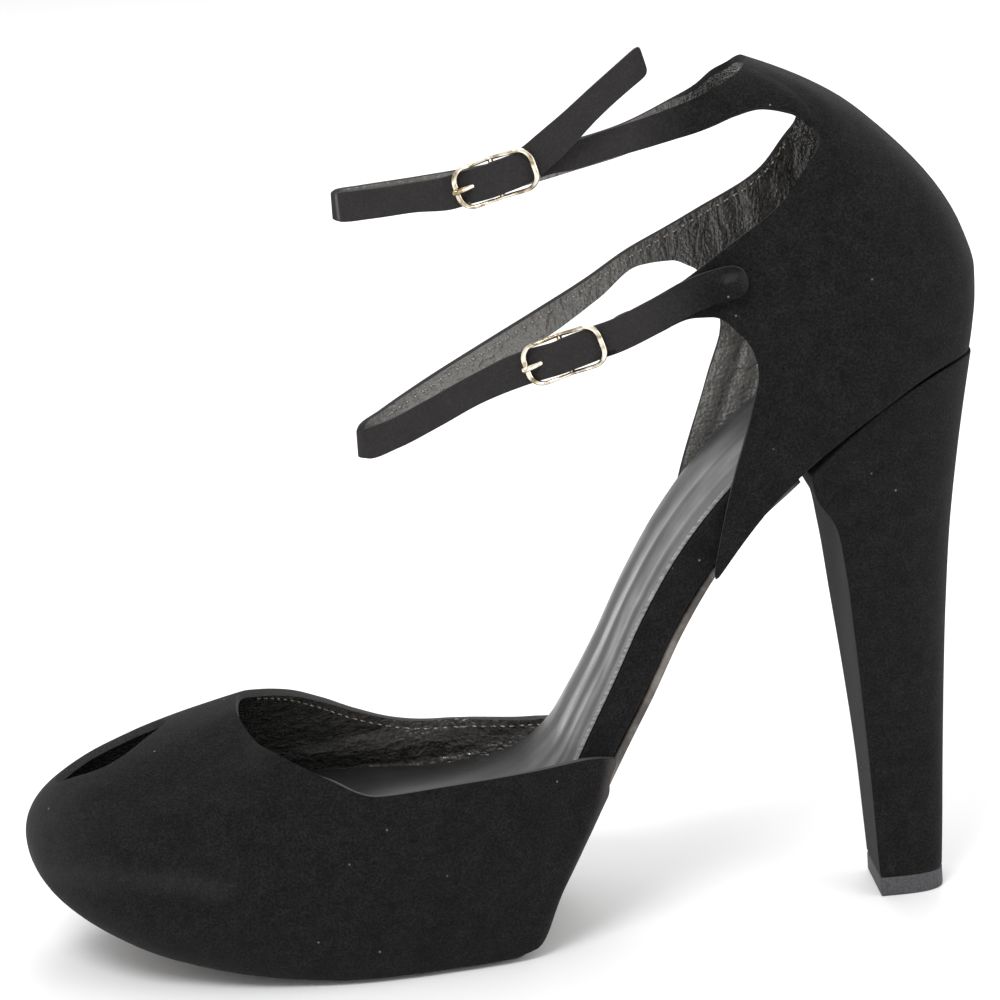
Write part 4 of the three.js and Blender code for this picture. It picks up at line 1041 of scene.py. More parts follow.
@dataclass
class Vamp:
    """The toe upper, which also covers the platform's side."""

    finishes: Finishes
    rows: tuple[VampRow, ...] = VAMP_ROWS
    wall: float = WALL
    peep_centre: tuple[float, float] = (-66.8, 0.8)
    peep_length: float = 27.0
    peep_width: float = 19.5
    peep_low: float = 38.0
    peep_square: float = 0.12
    belly: float = 0.65
    fine: int = 14
    low_steps: int = 12
    high_steps: int = 40
    stitched: tuple[int, int] = (10, 17)
    stitch_inset: float = 1.8
    edge_round: float = 0.6
    slack: tuple[tuple[float, float], ...] = ((42, 0.22), (120, 0.06))
    creases: tuple[Stroke, ...] = (
        Stroke(((-84.5, -12.0, 26.4), (-72.8, -26.4, 28.2), (-56.1, -34.6, 27.4),
                (-39.7, -39.1, 25.6), (-19.9, -41.0, 24.0)), 2.8, 0.5),
        Stroke(((-80.0, -18.5, 22.6), (-73.2, -26.3, 23.2), (-51.0, -37.1, 22.0),
                (-34.3, -40.1, 21.0), (-12.2, -41.0, 20.6)), 2.6, -0.55),
        Stroke(((-37.0, -35.2, 37.0), (-29.4, -35.0, 40.6), (-18.1, -35.8, 43.4)), 3.4, -0.6),
        Stroke(((19.4, -36.1, 21.9), (27.8, -33.4, 26.6)), 2.4, 0.45),
        Stroke(((6.0, -38.0, 27.0), (14.2, -37.3, 30.1), (22.0, -35.2, 34.5)), 3.6, -0.5),
        Stroke(((-40.0, -28.6, 45.5), (-50.0, -26.5, 46.4)), 3.6, -0.35),
        Stroke(((-62.6, -21.4, 42.9), (-70.0, -20.0, 37.5)), 4.0, -0.3),
        Stroke(((-17.6, 38.6, 27.6), (-0.9, 38.0, 27.8), (15.8, 34.8, 29.4),
                (32.6, 28.2, 37.0)), 1.9, 0.9),
        Stroke(((-24.0, 36.5, 33.4), (-16.0, 36.2, 33.2), (0.6, 36.0, 33.4),
                (15.1, 34.4, 35.8)), 2.2, -0.8),
        Stroke(((-30.0, 33.0, 39.0), (-16.0, 35.0, 38.6), (-4.0, 36.0, 37.6)), 1.6, 0.4),
    )
    # Painted highlights that pale the nap: the lit strip where the suede turns round the platform's back,
    # the lit front of the toe, and the lit ridge of the first crease.
    highlight_and_pale_marks: tuple[Stroke, ...] = (
        Stroke(((46.6, -25.3, 43.0), (43.8, -25.8, 33.6), (36.0, -28.6, 18.0)), 1.7, 0.5),
        Stroke(((-86.0, -5.0, 32.0), (-80.5, -18.0, 33.0)), 10.0, 0.07),
        Stroke(((-84.5, -12.0, 26.4), (-72.8, -26.4, 28.2), (-56.1, -34.6, 27.4),
                (-44.0, -38.4, 26.0)), 2.6, 0.07),
    )

    def upright(self, row: VampRow) -> list[Vector]:
        """Return one upright line of the wall.

        Args:
            row: The upright's sizes.

        Returns:
            Points in metres, bottom edge to topline.
        """
        bottom, wide, top = (Vector(row[k:k + 3]) for k in (0, 3, 6))
        outwards = Vector((wide.x - top.x, wide.y - top.y, 0)).normalized()
        lean = math.radians(row.lean)
        handle = top + outwards * math.sin(lean) * row.pull - Vector((0, 0, math.cos(lean) * row.pull))
        above = wide + Vector((0, 0, row.rise))
        below = wide - Vector((0, 0, self.belly * (wide.z - bottom.z)))
        points = []
        for u in steps(0, 1, self.low_steps):
            points.append(bottom * (1 - u) ** 2 + below * 2 * u * (1 - u) + wide * u * u)
        for u in steps(0, 1, self.high_steps)[1:]:
            v = 1 - u
            points.append(wide * v ** 3 + above * 3 * v * v * u + handle * 3 * v * u * u + top * u ** 3)
        return [point * MM for point in points]

    def hole_value(self, x: float, y: float) -> float:
        """Return how far a point lies from the peep hole's edge: 1 on it, less inside."""
        dx = (x - self.peep_centre[0]) / (self.peep_length / 2)
        dy = (y - self.peep_centre[1]) / (self.peep_width / 2)
        reach = 1 - self.peep_square * abs(math.sin(2 * math.atan2(dy, dx))) ** 2
        return math.hypot(dx, dy) / reach

    def cut_peep_hole(self, mesh: BMesh) -> None:
        """Cut the hole in the toe and draw its rim to a clean curve on the surface."""
        centre = Vector((self.peep_centre[0], self.peep_centre[1], 0))
        surface = BVHTree.FromBMesh(mesh)
        inside = {vert for vert in mesh.verts if vert.co.z > self.peep_low * MM
                  and self.hole_value(vert.co.x / MM, vert.co.y / MM) < 1}
        gone = [face for face in mesh.faces if all(vert in inside for vert in face.verts)]
        bmesh.ops.delete(mesh, geom=gone, context="FACES")
        for vert in [vert for vert in mesh.verts if vert in inside]:
            away = Vector((vert.co.x, vert.co.y, 0)) - centre * MM
            value = max(self.hole_value(vert.co.x / MM, vert.co.y / MM), 0.05)
            over = centre * MM + away / value + Vector((0, 0, 0.2))
            place = surface.ray_cast(over, Vector((0, 0, -1)))[0]
            vert.co = place if place else vert.co

    def shift(self, place: Vector) -> float:
        """Return how far soft wear has moved the skin at a place in metres, in millimetres."""
        return sum(noise.noise(place * often) * deep for often, deep in self.slack)

    def build(self) -> None:
        """Build the vamp and the stitches inside its far edge."""
        spline = Spline(self.rows)
        columns = [self.upright(VampRow(*spline.at(t)))
                   for t in steps(0, spline.last, spline.last * self.fine)]
        mesh = grid_mesh(columns)
        face_outwards(mesh, Vector((-10, 0, 25)) * MM)
        self.cut_peep_hole(mesh)
        mesh.normal_update()
        for vert in mesh.verts:
            vert.co += vert.normal * self.shift(vert.co) * MM
        # The nap is paled by painted highlights at the marks listed above.
        mark_surface(mesh, self.creases, lambda place: min(all_strokes(place, self.highlight_and_pale_marks), 1.0))
        cloth = self.finishes
        piece = to_object("suede_vamp", mesh, [cloth.suede, cloth.lining, cloth.cut])
        add_wall(piece, self.wall, 2)
        add_round(piece, self.edge_round)
        settle(piece, "suede", "vamp")
        first, last = (row * self.fine for row in self.stitched)
        line, outs = inset_line(columns[first:last], len(columns[0]) - 1, -1, self.stitch_inset,
                                self.wall + 0.05, self.creases)
        Stitching(self.finishes).build("throat_lining_stitches", line, outs)


# Buckles.


class StrapRow(NamedTuple):
    """One point of a strap's middle line on its outer face, and the strap's width."""

    x: float
    y: float
    z: float
    wide: float = 6.6


@dataclass
class Buckle:
    """A centre-bar buckle with its prong, placed from its two ends."""

    finishes: Finishes
    name: str
    front: Vector
    rear: Vector
    drift: float = 0.0
    length: float = 19.5
    width: float = 10.0
    wire_wide: float = 1.4
    side_wide: float = 0.9
    wire_deep: float = 1.3
    corner: float = 3.2
    bar_drop: float = 1.6
    strap: float = 1.7
    strap_wide: float = 7.4
    prong_wide: float = 1.3
    prong_steps: int = 48
    sink: float = 0.25
    flat_wide: float = 0.75
    flat_deep: float = 0.9
    gap: float = GAP
    round_steps: int = 16

    def __post_init__(self) -> None:
        """Work out the buckle's own directions."""
        self.centre = (self.front + self.rear) / 2
        self.along = (self.rear - self.front).normalized()
        self.across = (Vector((0, 0, 1)) - self.along * self.along.z).normalized()
        self.out = self.along.cross(self.across)
        self.bar_reach = self.length / 2 - self.wire_wide / 2
        self.dip = self.wire_deep / 2 + self.sink
        self.over_bar = self.wire_deep / 2 + self.sink + self.strap - self.bar_drop

    def at(self, a: float, b: float, c: float) -> Vector:
        """Return a point by its distances along, across and out, in millimetres."""
        return self.centre + self.along * a + self.across * b + self.out * c

    def turns(self) -> list[float]:
        """Return the angles round a wire."""
        return [2 * math.pi * m / self.round_steps for m in range(self.round_steps)]

    def frame_rings(self) -> list[list[Vector]]:
        """Return the rings of the frame's wire, flat on top and dipped beside the bar."""
        half_long, half_wide = self.bar_reach, self.width / 2 - self.side_wide / 2
        path = rounded_outline(-half_long, half_long, -half_wide, half_wide, self.corner, 10, 16)
        rings = []
        for k, (a, b) in enumerate(path):
            pa, pb = path[k - 1]
            na, nb = path[(k + 1) % len(path)]
            size = math.hypot(na - pa, nb - pb)
            oa, ob = (nb - pb) / size, -(na - pa) / size
            drop = -self.bar_drop * max(0.0, 1 - abs(a) / (half_long - self.corner)) ** 1.5
            ring = []
            for turn in self.turns():
                wide = 0.5 * math.copysign(abs(math.cos(turn)) ** self.flat_wide, math.cos(turn))
                deep = 0.5 * math.copysign(abs(math.sin(turn)) ** self.flat_deep, math.sin(turn))
                ring.append(self.at(a + oa * wide * self.wire_wide, b + ob * wide * self.side_wide,
                                    drop + deep * self.wire_deep) * MM)
            rings.append(ring)
        return rings

    def build(self) -> None:
        """Build the frame, the centre bar and the prong."""
        kind = self.name.split("_")[0]
        gold = [self.finishes.gold]
        frame = to_object(f"{self.name}_frame", loft(self.frame_rings(), Ends.RING), gold)
        settle(frame, "buckle_metal", f"buckle_{kind}")
        half, reach = 0.5 * self.wire_deep, self.width / 2 - self.side_wide / 2
        bar_rings = [[self.at(half * math.cos(turn), b, -self.bar_drop + half * math.sin(turn)) * MM
                      for turn in self.turns()] for b in steps(-reach, reach, 6)]
        bar = to_object(f"{self.name}_centre_bar", loft(bar_rings), gold)
        settle(bar, "buckle_metal")
        prong = to_object(f"{self.name}_prong", loft(self.prong_rings()), gold)
        settle(prong, "buckle_metal", f"prong_{kind}")

    def prong_rings(self) -> list[list[Vector]]:
        """Return the prong's rings: from under the bar, up, and on to the front bar."""
        half = self.prong_wide / 2
        root = -self.bar_drop - self.wire_deep / 2 - self.gap - half
        rest = self.wire_deep / 2 + self.gap + half
        line = Spline([(0.1, root), (-0.6, root + 0.15), (0.9 - self.bar_reach, rest - 0.45),
                       (-self.bar_reach, rest), (-self.bar_reach - 0.9, rest)])
        rings = []
        for t in steps(0, 4, self.prong_steps):
            a, c = line.at(t)
            pa, pc = line.at(max(t - 0.05, 0))
            na, nc = line.at(min(t + 0.05, 4))
            size = math.hypot(na - pa, nc - pc)
            taper = math.sqrt(max(1 - max(0.0, (t - 3.3) / 0.71) ** 2, 0.02))
            ring = []
            for turn in self.turns():
                lift = 0.86 * half * taper * math.sin(turn)
                ring.append(self.at(a - (nc - pc) / size * lift, half * taper * math.cos(turn),
                                    c + (na - pa) / size * lift) * MM)
            rings.append(ring)
        return rings

    def threaded(self) -> list[StrapRow]:
        """Return the long strap's points inside the buckle; it leaves drifting upwards."""
        points = (self.at(-self.bar_reach - 1.6, 0, -self.dip - 0.1),
                  self.at(-self.bar_reach + 0.8, 0, -self.dip), self.at(0, 0, self.over_bar),
                  self.at(self.bar_reach - 0.8, 0.4 * self.drift, -self.dip),
                  self.at(self.bar_reach + 1.6, self.drift, -self.dip - 0.1))
        return [StrapRow(point.x, point.y, point.z, self.strap_wide) for point in points]

    def strap_end(self, width: float) -> list[tuple[Vector, Vector]]:
        """Return the edges of the short strap's end, just behind the centre bar."""
        under = self.strap + self.gap
        half = width / 2
        places = ((self.bar_reach + 2.5, -self.dip - under - 0.1),
                  (self.bar_reach - 0.8, -self.dip - under),
                  (3.6, self.over_bar - under - 1.5), (1.3, self.over_bar - under - 0.7))
        return [(self.at(a, -half, c), self.at(a, half, c)) for a, c in places]


# Quarter and straps.


Edge = tuple[float, float, float]


def mirrored(edge: Edge, sign: int) -> Vector:
    """Return a point of one side: minus one is the outer side, one the inner side."""
    return Vector((edge[0], sign * edge[1], edge[2]))


OUTER_ROWS: tuple[tuple[Edge, ...], ...] = (
    ((135.3, 0, 127.3), (136.2, 0, 132.2), (137.1, 0, 138.6), (137.2, 0, 144.2), (135.2, 0, 152.4),
     (114.1, 0, 181.0), (110.8, 0, 183.9), (87.9, 0, 196.2)),
    ((131.9, 12.1, 127.0), (132.6, 12.3, 131.4), (133.2, 12.2, 137.8), (133.2, 12.0, 143.4),
     (131.4, 11.6, 151.6), (112.1, 7.6, 181.0), (109.0, 6.8, 184.1), (87.7, 2.6, 196.1)),
    ((122.5, 19.9, 124.4), (123.0, 20.4, 129.4), (123.2, 20.4, 136.0), (123.0, 20.2, 142.0),
     (121.8, 19.4, 150.0), (107.8, 13.6, 181.1), (105.6, 12.4, 184.2), (87.2, 5.2, 195.9)),
    ((104.5, 24.4, 114.3), (105.6, 25.0, 122.0), (106.4, 25.0, 131.0), (106.0, 24.8, 138.8),
     (105.0, 24.2, 147.6), (101.7, 18.8, 178.4), (100.6, 16.6, 183.4), (86.4, 7.8, 195.5)),
    ((86.9, 24.6, 100.3), (92.0, 25.2, 112.4), (94.6, 25.4, 126.4), (95.0, 25.2, 136.6),
     (90.6, 24.4, 145.6), (91.4, 20.8, 166.2), (95.8, 17.8, 185.7), (85.0, 10.2, 194.7)),
    ((71.0, 23.4, 80.9), (76.4, 24.4, 103.2), (82.0, 25.2, 121.0), (84.7, 25.0, 133.4),
     (77.2, 23.2, 142.4), (77.9, 21.8, 157.0), (88.6, 17.8, 187.5), (82.0, 12.6, 193.2)),
)
INNER_ROWS: tuple[tuple[Edge, ...], ...] = OUTER_ROWS[:3] + (
    ((104.5, 24.4, 114.3), (105.0, 25.0, 121.6), (105.4, 25.0, 130.4), (104.8, 24.6, 138.0),
     (103.6, 23.8, 148.0), (101.7, 18.0, 178.2), (100.4, 15.8, 183.0), (86.3, 7.6, 195.2)),
    ((84.0, 24.7, 95.6), (88.4, 25.2, 108.6), (91.8, 25.2, 123.6), (92.4, 24.8, 134.6),
     (90.2, 23.8, 147.4), (91.4, 20.8, 166.6), (95.4, 16.8, 184.9), (84.7, 9.6, 193.9)),
    ((62.6, 23.0, 67.2), (70.2, 23.8, 97.6), (77.8, 24.4, 119.0), (82.0, 24.2, 133.0),
     (77.4, 22.8, 145.0), (77.4, 22.2, 158.8), (88.0, 16.8, 186.4), (81.4, 12.0, 191.9)),
)


@dataclass
class Quarter:
    """The counter cup with its short straps and its long ones, one skin of suede."""

    finishes: Finishes
    lower: Buckle
    upper: Buckle
    wall: float = WALL
    width: float = 6.6
    outer_rows: tuple[tuple[Edge, ...], ...] = OUTER_ROWS
    inner_rows: tuple[tuple[Edge, ...], ...] = INNER_ROWS
    outer_lower: tuple[tuple[Edge, Edge], ...] = (
        ((70.6, 21.8, 142.3), (69.6, 21.2, 151.2)), ((63.2, 20.6, 139.7), (61.3, 20.2, 145.9)),
        ((56.4, 18.5, 137.4), (54.5, 18.1, 143.6)))
    outer_upper: tuple[tuple[Edge, Edge], ...] = (
        ((82.4, 17.8, 186.0), (78.4, 14.4, 191.7)), ((76.8, 17.4, 183.7), (74.6, 15.6, 190.3)),
        ((65.6, 16.0, 180.6), (64.0, 15.2, 186.9)), ((55.6, 14.4, 178.2), (53.8, 14.0, 184.1)),
        ((46.4, 13.0, 175.9), (44.7, 12.7, 181.8)))
    inner_lower: tuple[tuple[Edge, Edge], ...] = (((70.6, 22.2, 147.4), (69.0, 22.0, 154.7)),)
    inner_upper: tuple[tuple[Edge, Edge], ...] = (((82.0, 16.8, 184.4), (77.8, 13.6, 188.8)),)
    lower_round: tuple[StrapRow, ...] = (
        StrapRow(61.6, 20.6, 149.0, 4.6), StrapRow(52.0, 19.0, 143.1, 5.4), StrapRow(40.0, 16.4, 136.6),
        StrapRow(26.0, 12.6, 130.2), StrapRow(12.0, 8.4, 123.7), StrapRow(2.0, 5.2, 118.6),
        StrapRow(-3.6, 2.6, 115.9), StrapRow(-5.0, 0.0, 115.2, 5.7), StrapRow(-3.4, -2.8, 115.6),
        StrapRow(3.0, -5.2, 117.9), StrapRow(12.0, -7.6, 122.4), StrapRow(22.0, -10.6, 127.8),
    )
    lower_tail: tuple[StrapRow, ...] = (
        StrapRow(62.0, -22.6, 143.6, 7.4), StrapRow(71.6, -24.6, 148.4, 7.4),
        StrapRow(82.4, -25.8, 150.9, 7.4),
    )
    upper_round: tuple[StrapRow, ...] = (
        StrapRow(72.2, 14.9, 182.2), StrapRow(62.0, 13.6, 178.2), StrapRow(48.0, 11.6, 175.1),
        StrapRow(32.0, 9.2, 172.2), StrapRow(14.0, 6.6, 170.8), StrapRow(0.0, 4.6, 170.1),
        StrapRow(-5.4, 2.4, 170.0), StrapRow(-6.6, 0.0, 170.0, 5.7), StrapRow(-5.0, -2.6, 170.0),
        StrapRow(2.0, -4.6, 170.5), StrapRow(11.0, -6.8, 171.5),
    )
    upper_tail: tuple[StrapRow, ...] = (
        StrapRow(45.3, -16.0, 185.3), StrapRow(53.2, -17.4, 192.1, 6.0), StrapRow(63.2, -18.7, 200.0, 6.2),
    )
    fine: int = 10
    arch_rows: int = 5
    window_rows: int = 3
    corner_rounds: int = 22
    corner_bend: float = 0.985
    corner_pull: float = 0.4
    corner_ease: float = 0.3
    tip_slant: float = 1.3
    tip_rounds: int = 3
    tail_above: float = 190.0
    tail_beyond: float = -15.0
    wing_below: float = 94.0
    edge_round: float = 0.55
    stitch_inset: float = 1.7
    bands: tuple[int, ...] = (8, 8, 6, 6, 10, 6, 10)
    creases: tuple[Stroke, ...] = (
        Stroke(((88.5, 25.2, 131.0), (85.8, 24.9, 124.5), (81.6, 24.8, 113.0),
                (77.5, 24.2, 104.0)), 1.3, 0.6),
        Stroke(((92.5, 25.2, 129.0), (89.0, 25.0, 119.0), (85.5, 24.8, 110.0)), 1.5, 0.5),
        Stroke(((84.0, 24.9, 128.0), (80.6, 24.4, 118.0), (77.0, 24.2, 109.0)), 1.3, -0.45),
        Stroke(((93.0, 20.6, 165.0), (95.0, 22.6, 157.0), (97.0, 23.6, 148.0)), 1.7, 0.45),
        Stroke(((86.4, 21.4, 161.0), (87.6, 22.9, 152.0), (88.4, 23.6, 147.0)), 1.6, 0.4),
        Stroke(((89.6, 21.4, 162.0), (91.4, 22.8, 154.0)), 1.5, -0.35),
        Stroke(((79.6, 21.9, 157.0), (80.6, 22.8, 149.0)), 1.4, 0.35),
        Stroke(((99.0, 19.6, 171.0), (103.0, 22.0, 160.0)), 2.0, 0.4),
        Stroke(((86.0, -24.0, 140.0), (94.0, -24.6, 147.0)), 5.0, -0.35),
        Stroke(((100.0, -24.0, 112.0), (112.0, -23.0, 121.0)), 5.0, 0.3),
        Stroke(((-5.6, -2.0, 173.2), (-5.4, -2.2, 166.9)), 0.5, -0.18),
        Stroke(((-3.6, -3.3, 112.4), (-2.6, -3.5, 118.6)), 0.6, -0.2),
    )
    # Paler marks: two pale patches at the lower tail's end, and a painted highlight on the crease of the
    # upper strap's folded front.
    highlight_and_pale_marks: tuple[Stroke, ...] = (
        Stroke(((82.0, -25.9, 152.6), (82.6, -25.9, 149.4)), 1.0, 0.12),
        Stroke(((78.0, -25.4, 151.2), (79.5, -25.5, 151.6)), 0.9, 0.2),
        Stroke(((-5.6, -2.0, 172.8), (-5.3, -2.2, 167.3)), 0.34, 1.2),
    )
    strap_rub: float = 0.17
    rub_start: float = 74.0
    rub_run: float = 14.0
    rub_above: float = 136.0
    rub_front: float = 50.0

    def strap_edges(self, rows: Sequence[StrapRow], slant: float) -> list[tuple[Vector, Vector]]:
        """Return the two edges of a long strap.

        Args:
            rows: Its middle line on the outer face, inner side first, with its widths.
            slant: How far the tip's upper corner stands forward of its middle.

        Returns:
            Pairs of lower and upper edge points.
        """
        spline = Spline(rows)
        edges = []
        for k, row in enumerate(rows):
            point = Vector(row[:3])
            ahead, behind = spline.at(min(k + 0.15, spline.last)), spline.at(max(k - 0.15, 0))
            way = (Vector(ahead[:3]) - Vector(behind[:3])).normalized()
            out = Vector((way.y, -way.x, 0))
            down = way.cross((out - way * out.dot(way)).normalized())
            shift = way * slant if k == spline.last else Vector((0, 0, 0))
            edges.append((point + down * row.wide / 2 - shift, point - down * row.wide / 2 + shift))
        return edges

    def side(self, rows: Sequence[Sequence[Edge]], lower: Sequence[tuple[Vector, Vector]],
             upper: Sequence[tuple[Vector, Vector]], sign: int) -> tuple[list[list[Vector]], int, int]:
        """Return the grid of one side, from the back seam forwards.

        Args:
            rows: The quarter's lines on this side.
            lower: Edges of the lower strap beyond them.
            upper: Edges of the upper strap beyond them.
            sign: Minus one for the outer side, one for the inner side.

        Returns:
            The columns in metres, and the column count of the lower and upper strap.
        """
        splines = []
        for line in range(8):
            points = [mirrored(row[line], sign) for row in rows]
            strap = lower if line in (4, 5) else upper if line in (6, 7) else ()
            points += [edges[line % 2] for edges in strap]
            splines.append(Spline([tuple(p) for p in points]))
        count = len(rows) - 1 + max(len(lower), len(upper))
        columns = []
        for t in steps(0, count, count * self.fine):
            up = Spline([spline.at(min(t, spline.last)) for spline in splines])
            column = []
            for band, pieces in enumerate(self.bands):
                column += [Vector(up.at(band + u)) * MM for u in steps(0, 1, pieces)[1 if column else 0:]]
            columns.append(column)
        base = len(rows) - 1
        return columns, (base + len(lower)) * self.fine, (base + len(upper)) * self.fine

    def build(self) -> None:
        """Build the skin, round its corners and give it its wall."""
        def signed(pairs: Sequence[tuple[Edge, Edge]], sign: int) -> list[tuple[Vector, Vector]]:
            """Return pairs of edges on one side."""
            return [(mirrored(low, sign), mirrored(high, sign)) for low, high in pairs]

        outer_lower = signed(self.outer_lower, -1) + self.lower.strap_end(self.width)
        outer_upper = signed(self.outer_upper, -1) + self.upper.strap_end(self.width)
        lower_line = [*self.lower_round, *self.lower.threaded(), *self.lower_tail]
        upper_line = [*self.upper_round, *self.upper.threaded(), *self.upper_tail]
        inner_lower = signed(self.inner_lower, 1) + self.strap_edges(lower_line, 0.0)
        inner_upper = signed(self.inner_upper, 1) + self.strap_edges(upper_line, self.tip_slant)
        outer, outer_low_end, outer_up_end = self.side(self.outer_rows, outer_lower, outer_upper, -1)
        inner, inner_low_end, inner_up_end = self.side(self.inner_rows, inner_lower, inner_upper, 1)
        columns = outer[:0:-1] + inner
        seam = len(outer) - 1
        start = [sum(self.bands[:k]) for k in range(8)]

        def keep(i: int, j: int) -> bool:
            """Say which faces stay: cup, straps and the windows between them."""
            inside = i >= seam
            away = i - seam if inside else seam - 1 - i
            if j < start[4]:
                return away < self.arch_rows * self.fine
            if j < start[5]:
                return away < (inner_low_end if inside else outer_low_end)
            if j < start[6]:
                return away < self.window_rows * self.fine
            return away < (inner_up_end if inside else outer_up_end)

        mesh = grid_mesh(columns, keep)
        face_outwards(mesh, Vector((95, 0, 150)) * MM)
        self.round_corners(mesh)
        mark_surface(mesh, self.creases, self.wear_and_highlight_at)
        piece = to_object("suede_quarter", mesh, [self.finishes.suede, self.finishes.lining])
        add_wall(piece, self.wall, 0)
        add_round(piece, self.edge_round)
        settle(piece, "suede", "quarter", "strap_lower", "strap_upper")
        window = [column for column in inner[self.window_rows * self.fine + 2:]
                  if column[start[5]].y > 4 * MM]
        line, outs = inset_line(window, start[5], -1, self.stitch_inset, self.wall + 0.05, self.creases)
        Stitching(self.finishes).build("strap_lining_stitches", line, outs)

    def wear_and_highlight_at(self, place: Vector) -> float:
        """Return the paleness at a place in metres: the straps are paler than the cup, and the marks add
        pale patches and a painted highlight.
        """
        x, z = place.x / MM, place.z / MM
        on_strap = z > self.rub_above or x < self.rub_front
        strap = min(max((self.rub_start - x) / self.rub_run, 0.0), 1.0) if on_strap else 0.0
        return min(self.strap_rub * strap + all_strokes(place, self.highlight_and_pale_marks), 1.0)

    def round_corners(self, mesh: BMesh) -> None:
        """Round the corners of the windows, wings and strap ends."""
        for turn in range(self.corner_rounds):
            moves = {}
            for vert in mesh.verts:
                ends = [edge.other_vert(vert).co for edge in vert.link_edges if edge.is_boundary]
                if len(ends) != 2 or turn >= self.rounds_at(vert.co):
                    continue
                way_in, way_out = (vert.co - ends[0]).normalized(), (ends[1] - vert.co).normalized()
                if way_in.dot(way_out) < self.corner_bend:
                    moves[vert] = vert.co.lerp((ends[0] + ends[1]) / 2, self.corner_pull)
            for vert, place in moves.items():
                vert.co = place
            near = {edge.other_vert(vert) for vert in moves for edge in vert.link_edges
                    if not edge.is_boundary}
            bmesh.ops.smooth_vert(mesh, verts=[vert for vert in near if not vert.is_boundary],
                                  factor=self.corner_ease,
                                  use_axis_x=True, use_axis_y=True, use_axis_z=True)
        mesh.normal_update()

    def rounds_at(self, place: Vector) -> int:
        """Return how often a corner is eased; the upper tail's tip and the wings' tips stay sharp."""
        _, y, z = place / MM
        sharp = (z > self.tail_above and y < self.tail_beyond) or z < self.wing_below
        return self.tip_rounds if sharp else self.corner_rounds


# Heel.


class HeelRow(NamedTuple):
    """One section of the heel, from the seat down."""

    z_front: float
    z_back: float
    front: float
    back: float
    half: float
    bow: float
    square: float


@dataclass
class Heel:
    """The covered heel and its top lift."""

    finishes: Finishes
    sole: SoleUnit
    rows: tuple[HeelRow, ...] = (
        HeelRow(103.6, 126.6, 94.6, 135.2, 24.3, 1.0, 2.4),
        HeelRow(99.0, 117.6, 95.4, 133.5, 24.0, 0.8, 2.4),
        HeelRow(92.0, 104.0, 99.6, 131.0, 23.0, 0.45, 2.5),
        HeelRow(82.5, 89.0, 101.4, 128.7, 22.0, 0.15, 2.6),
        HeelRow(66.0, 69.0, 103.1, 126.7, 19.4, 0.0, 2.8),
        HeelRow(47.5, 48.5, 104.8, 125.4, 15.2, 0.0, 3.0),
        HeelRow(28.6, 28.6, 106.3, 124.4, 12.0, 0.0, 3.2),
        HeelRow(12.0, 12.0, 107.2, 123.6, 10.6, 0.0, 3.4),
        HeelRow(4.8, 4.8, 107.6, 123.2, 10.2, 0.0, 3.4),
    )
    lift: float = 4.5
    fine: int = 12
    round_steps: int = 56
    breast_steps: int = 12
    lift_steps: int = 6
    block_round: float = 0.5
    lift_round: float = 0.35

    def ring(self, row: HeelRow) -> list[Vector]:
        """Return one section of the heel in metres.

        Args:
            row: The section's sizes.

        Returns:
            Points from one breast corner round the back to the other, then along
            the breast.
        """
        seat = self.rows[0]
        points = []
        for angle in steps(-90, 90, self.round_steps):
            turn = math.radians(angle)
            power = 2 / row.square
            depth = max(math.cos(turn), 0.0) ** power
            aside = math.copysign(abs(math.sin(turn)) ** power, turn)
            z = row.z_front + (row.z_back - row.z_front) * depth
            straight = seat.z_front + (seat.z_back - seat.z_front) * depth
            z += row.bow * (self.sole.seat_height(seat.front + (seat.back - seat.front) * depth) - straight)
            points.append(Vector((row.front + (row.back - row.front) * depth, row.half * aside, z)) * MM)
        first, last = points[0], points[-1]
        points += [last.lerp(first, part) for part in steps(0, 1, self.breast_steps)[1:-1]]
        return points

    def build(self) -> None:
        """Build the heel block and its lift."""
        spline = Spline(self.rows)
        rings = [self.ring(HeelRow(*spline.at(t))) for t in steps(0, spline.last, spline.last * self.fine)]
        block = to_object("suede_covered_heel", loft(rings), [self.finishes.suede])
        add_round(block, self.block_round, 3, 40)
        settle(block, "suede", "heel")
        foot = self.ring(self.rows[-1])
        lift_rings = [[Vector((place.x, place.y, z * MM)) for place in foot]
                      for z in steps(0.0, self.lift, self.lift_steps)]
        lift = to_object("rubber_top_lift", loft(lift_rings), [self.finishes.rubber])
        add_round(lift, self.lift_round, 2, 40)
        settle(lift, "lift_rubber", "top_lift")


# Studio.


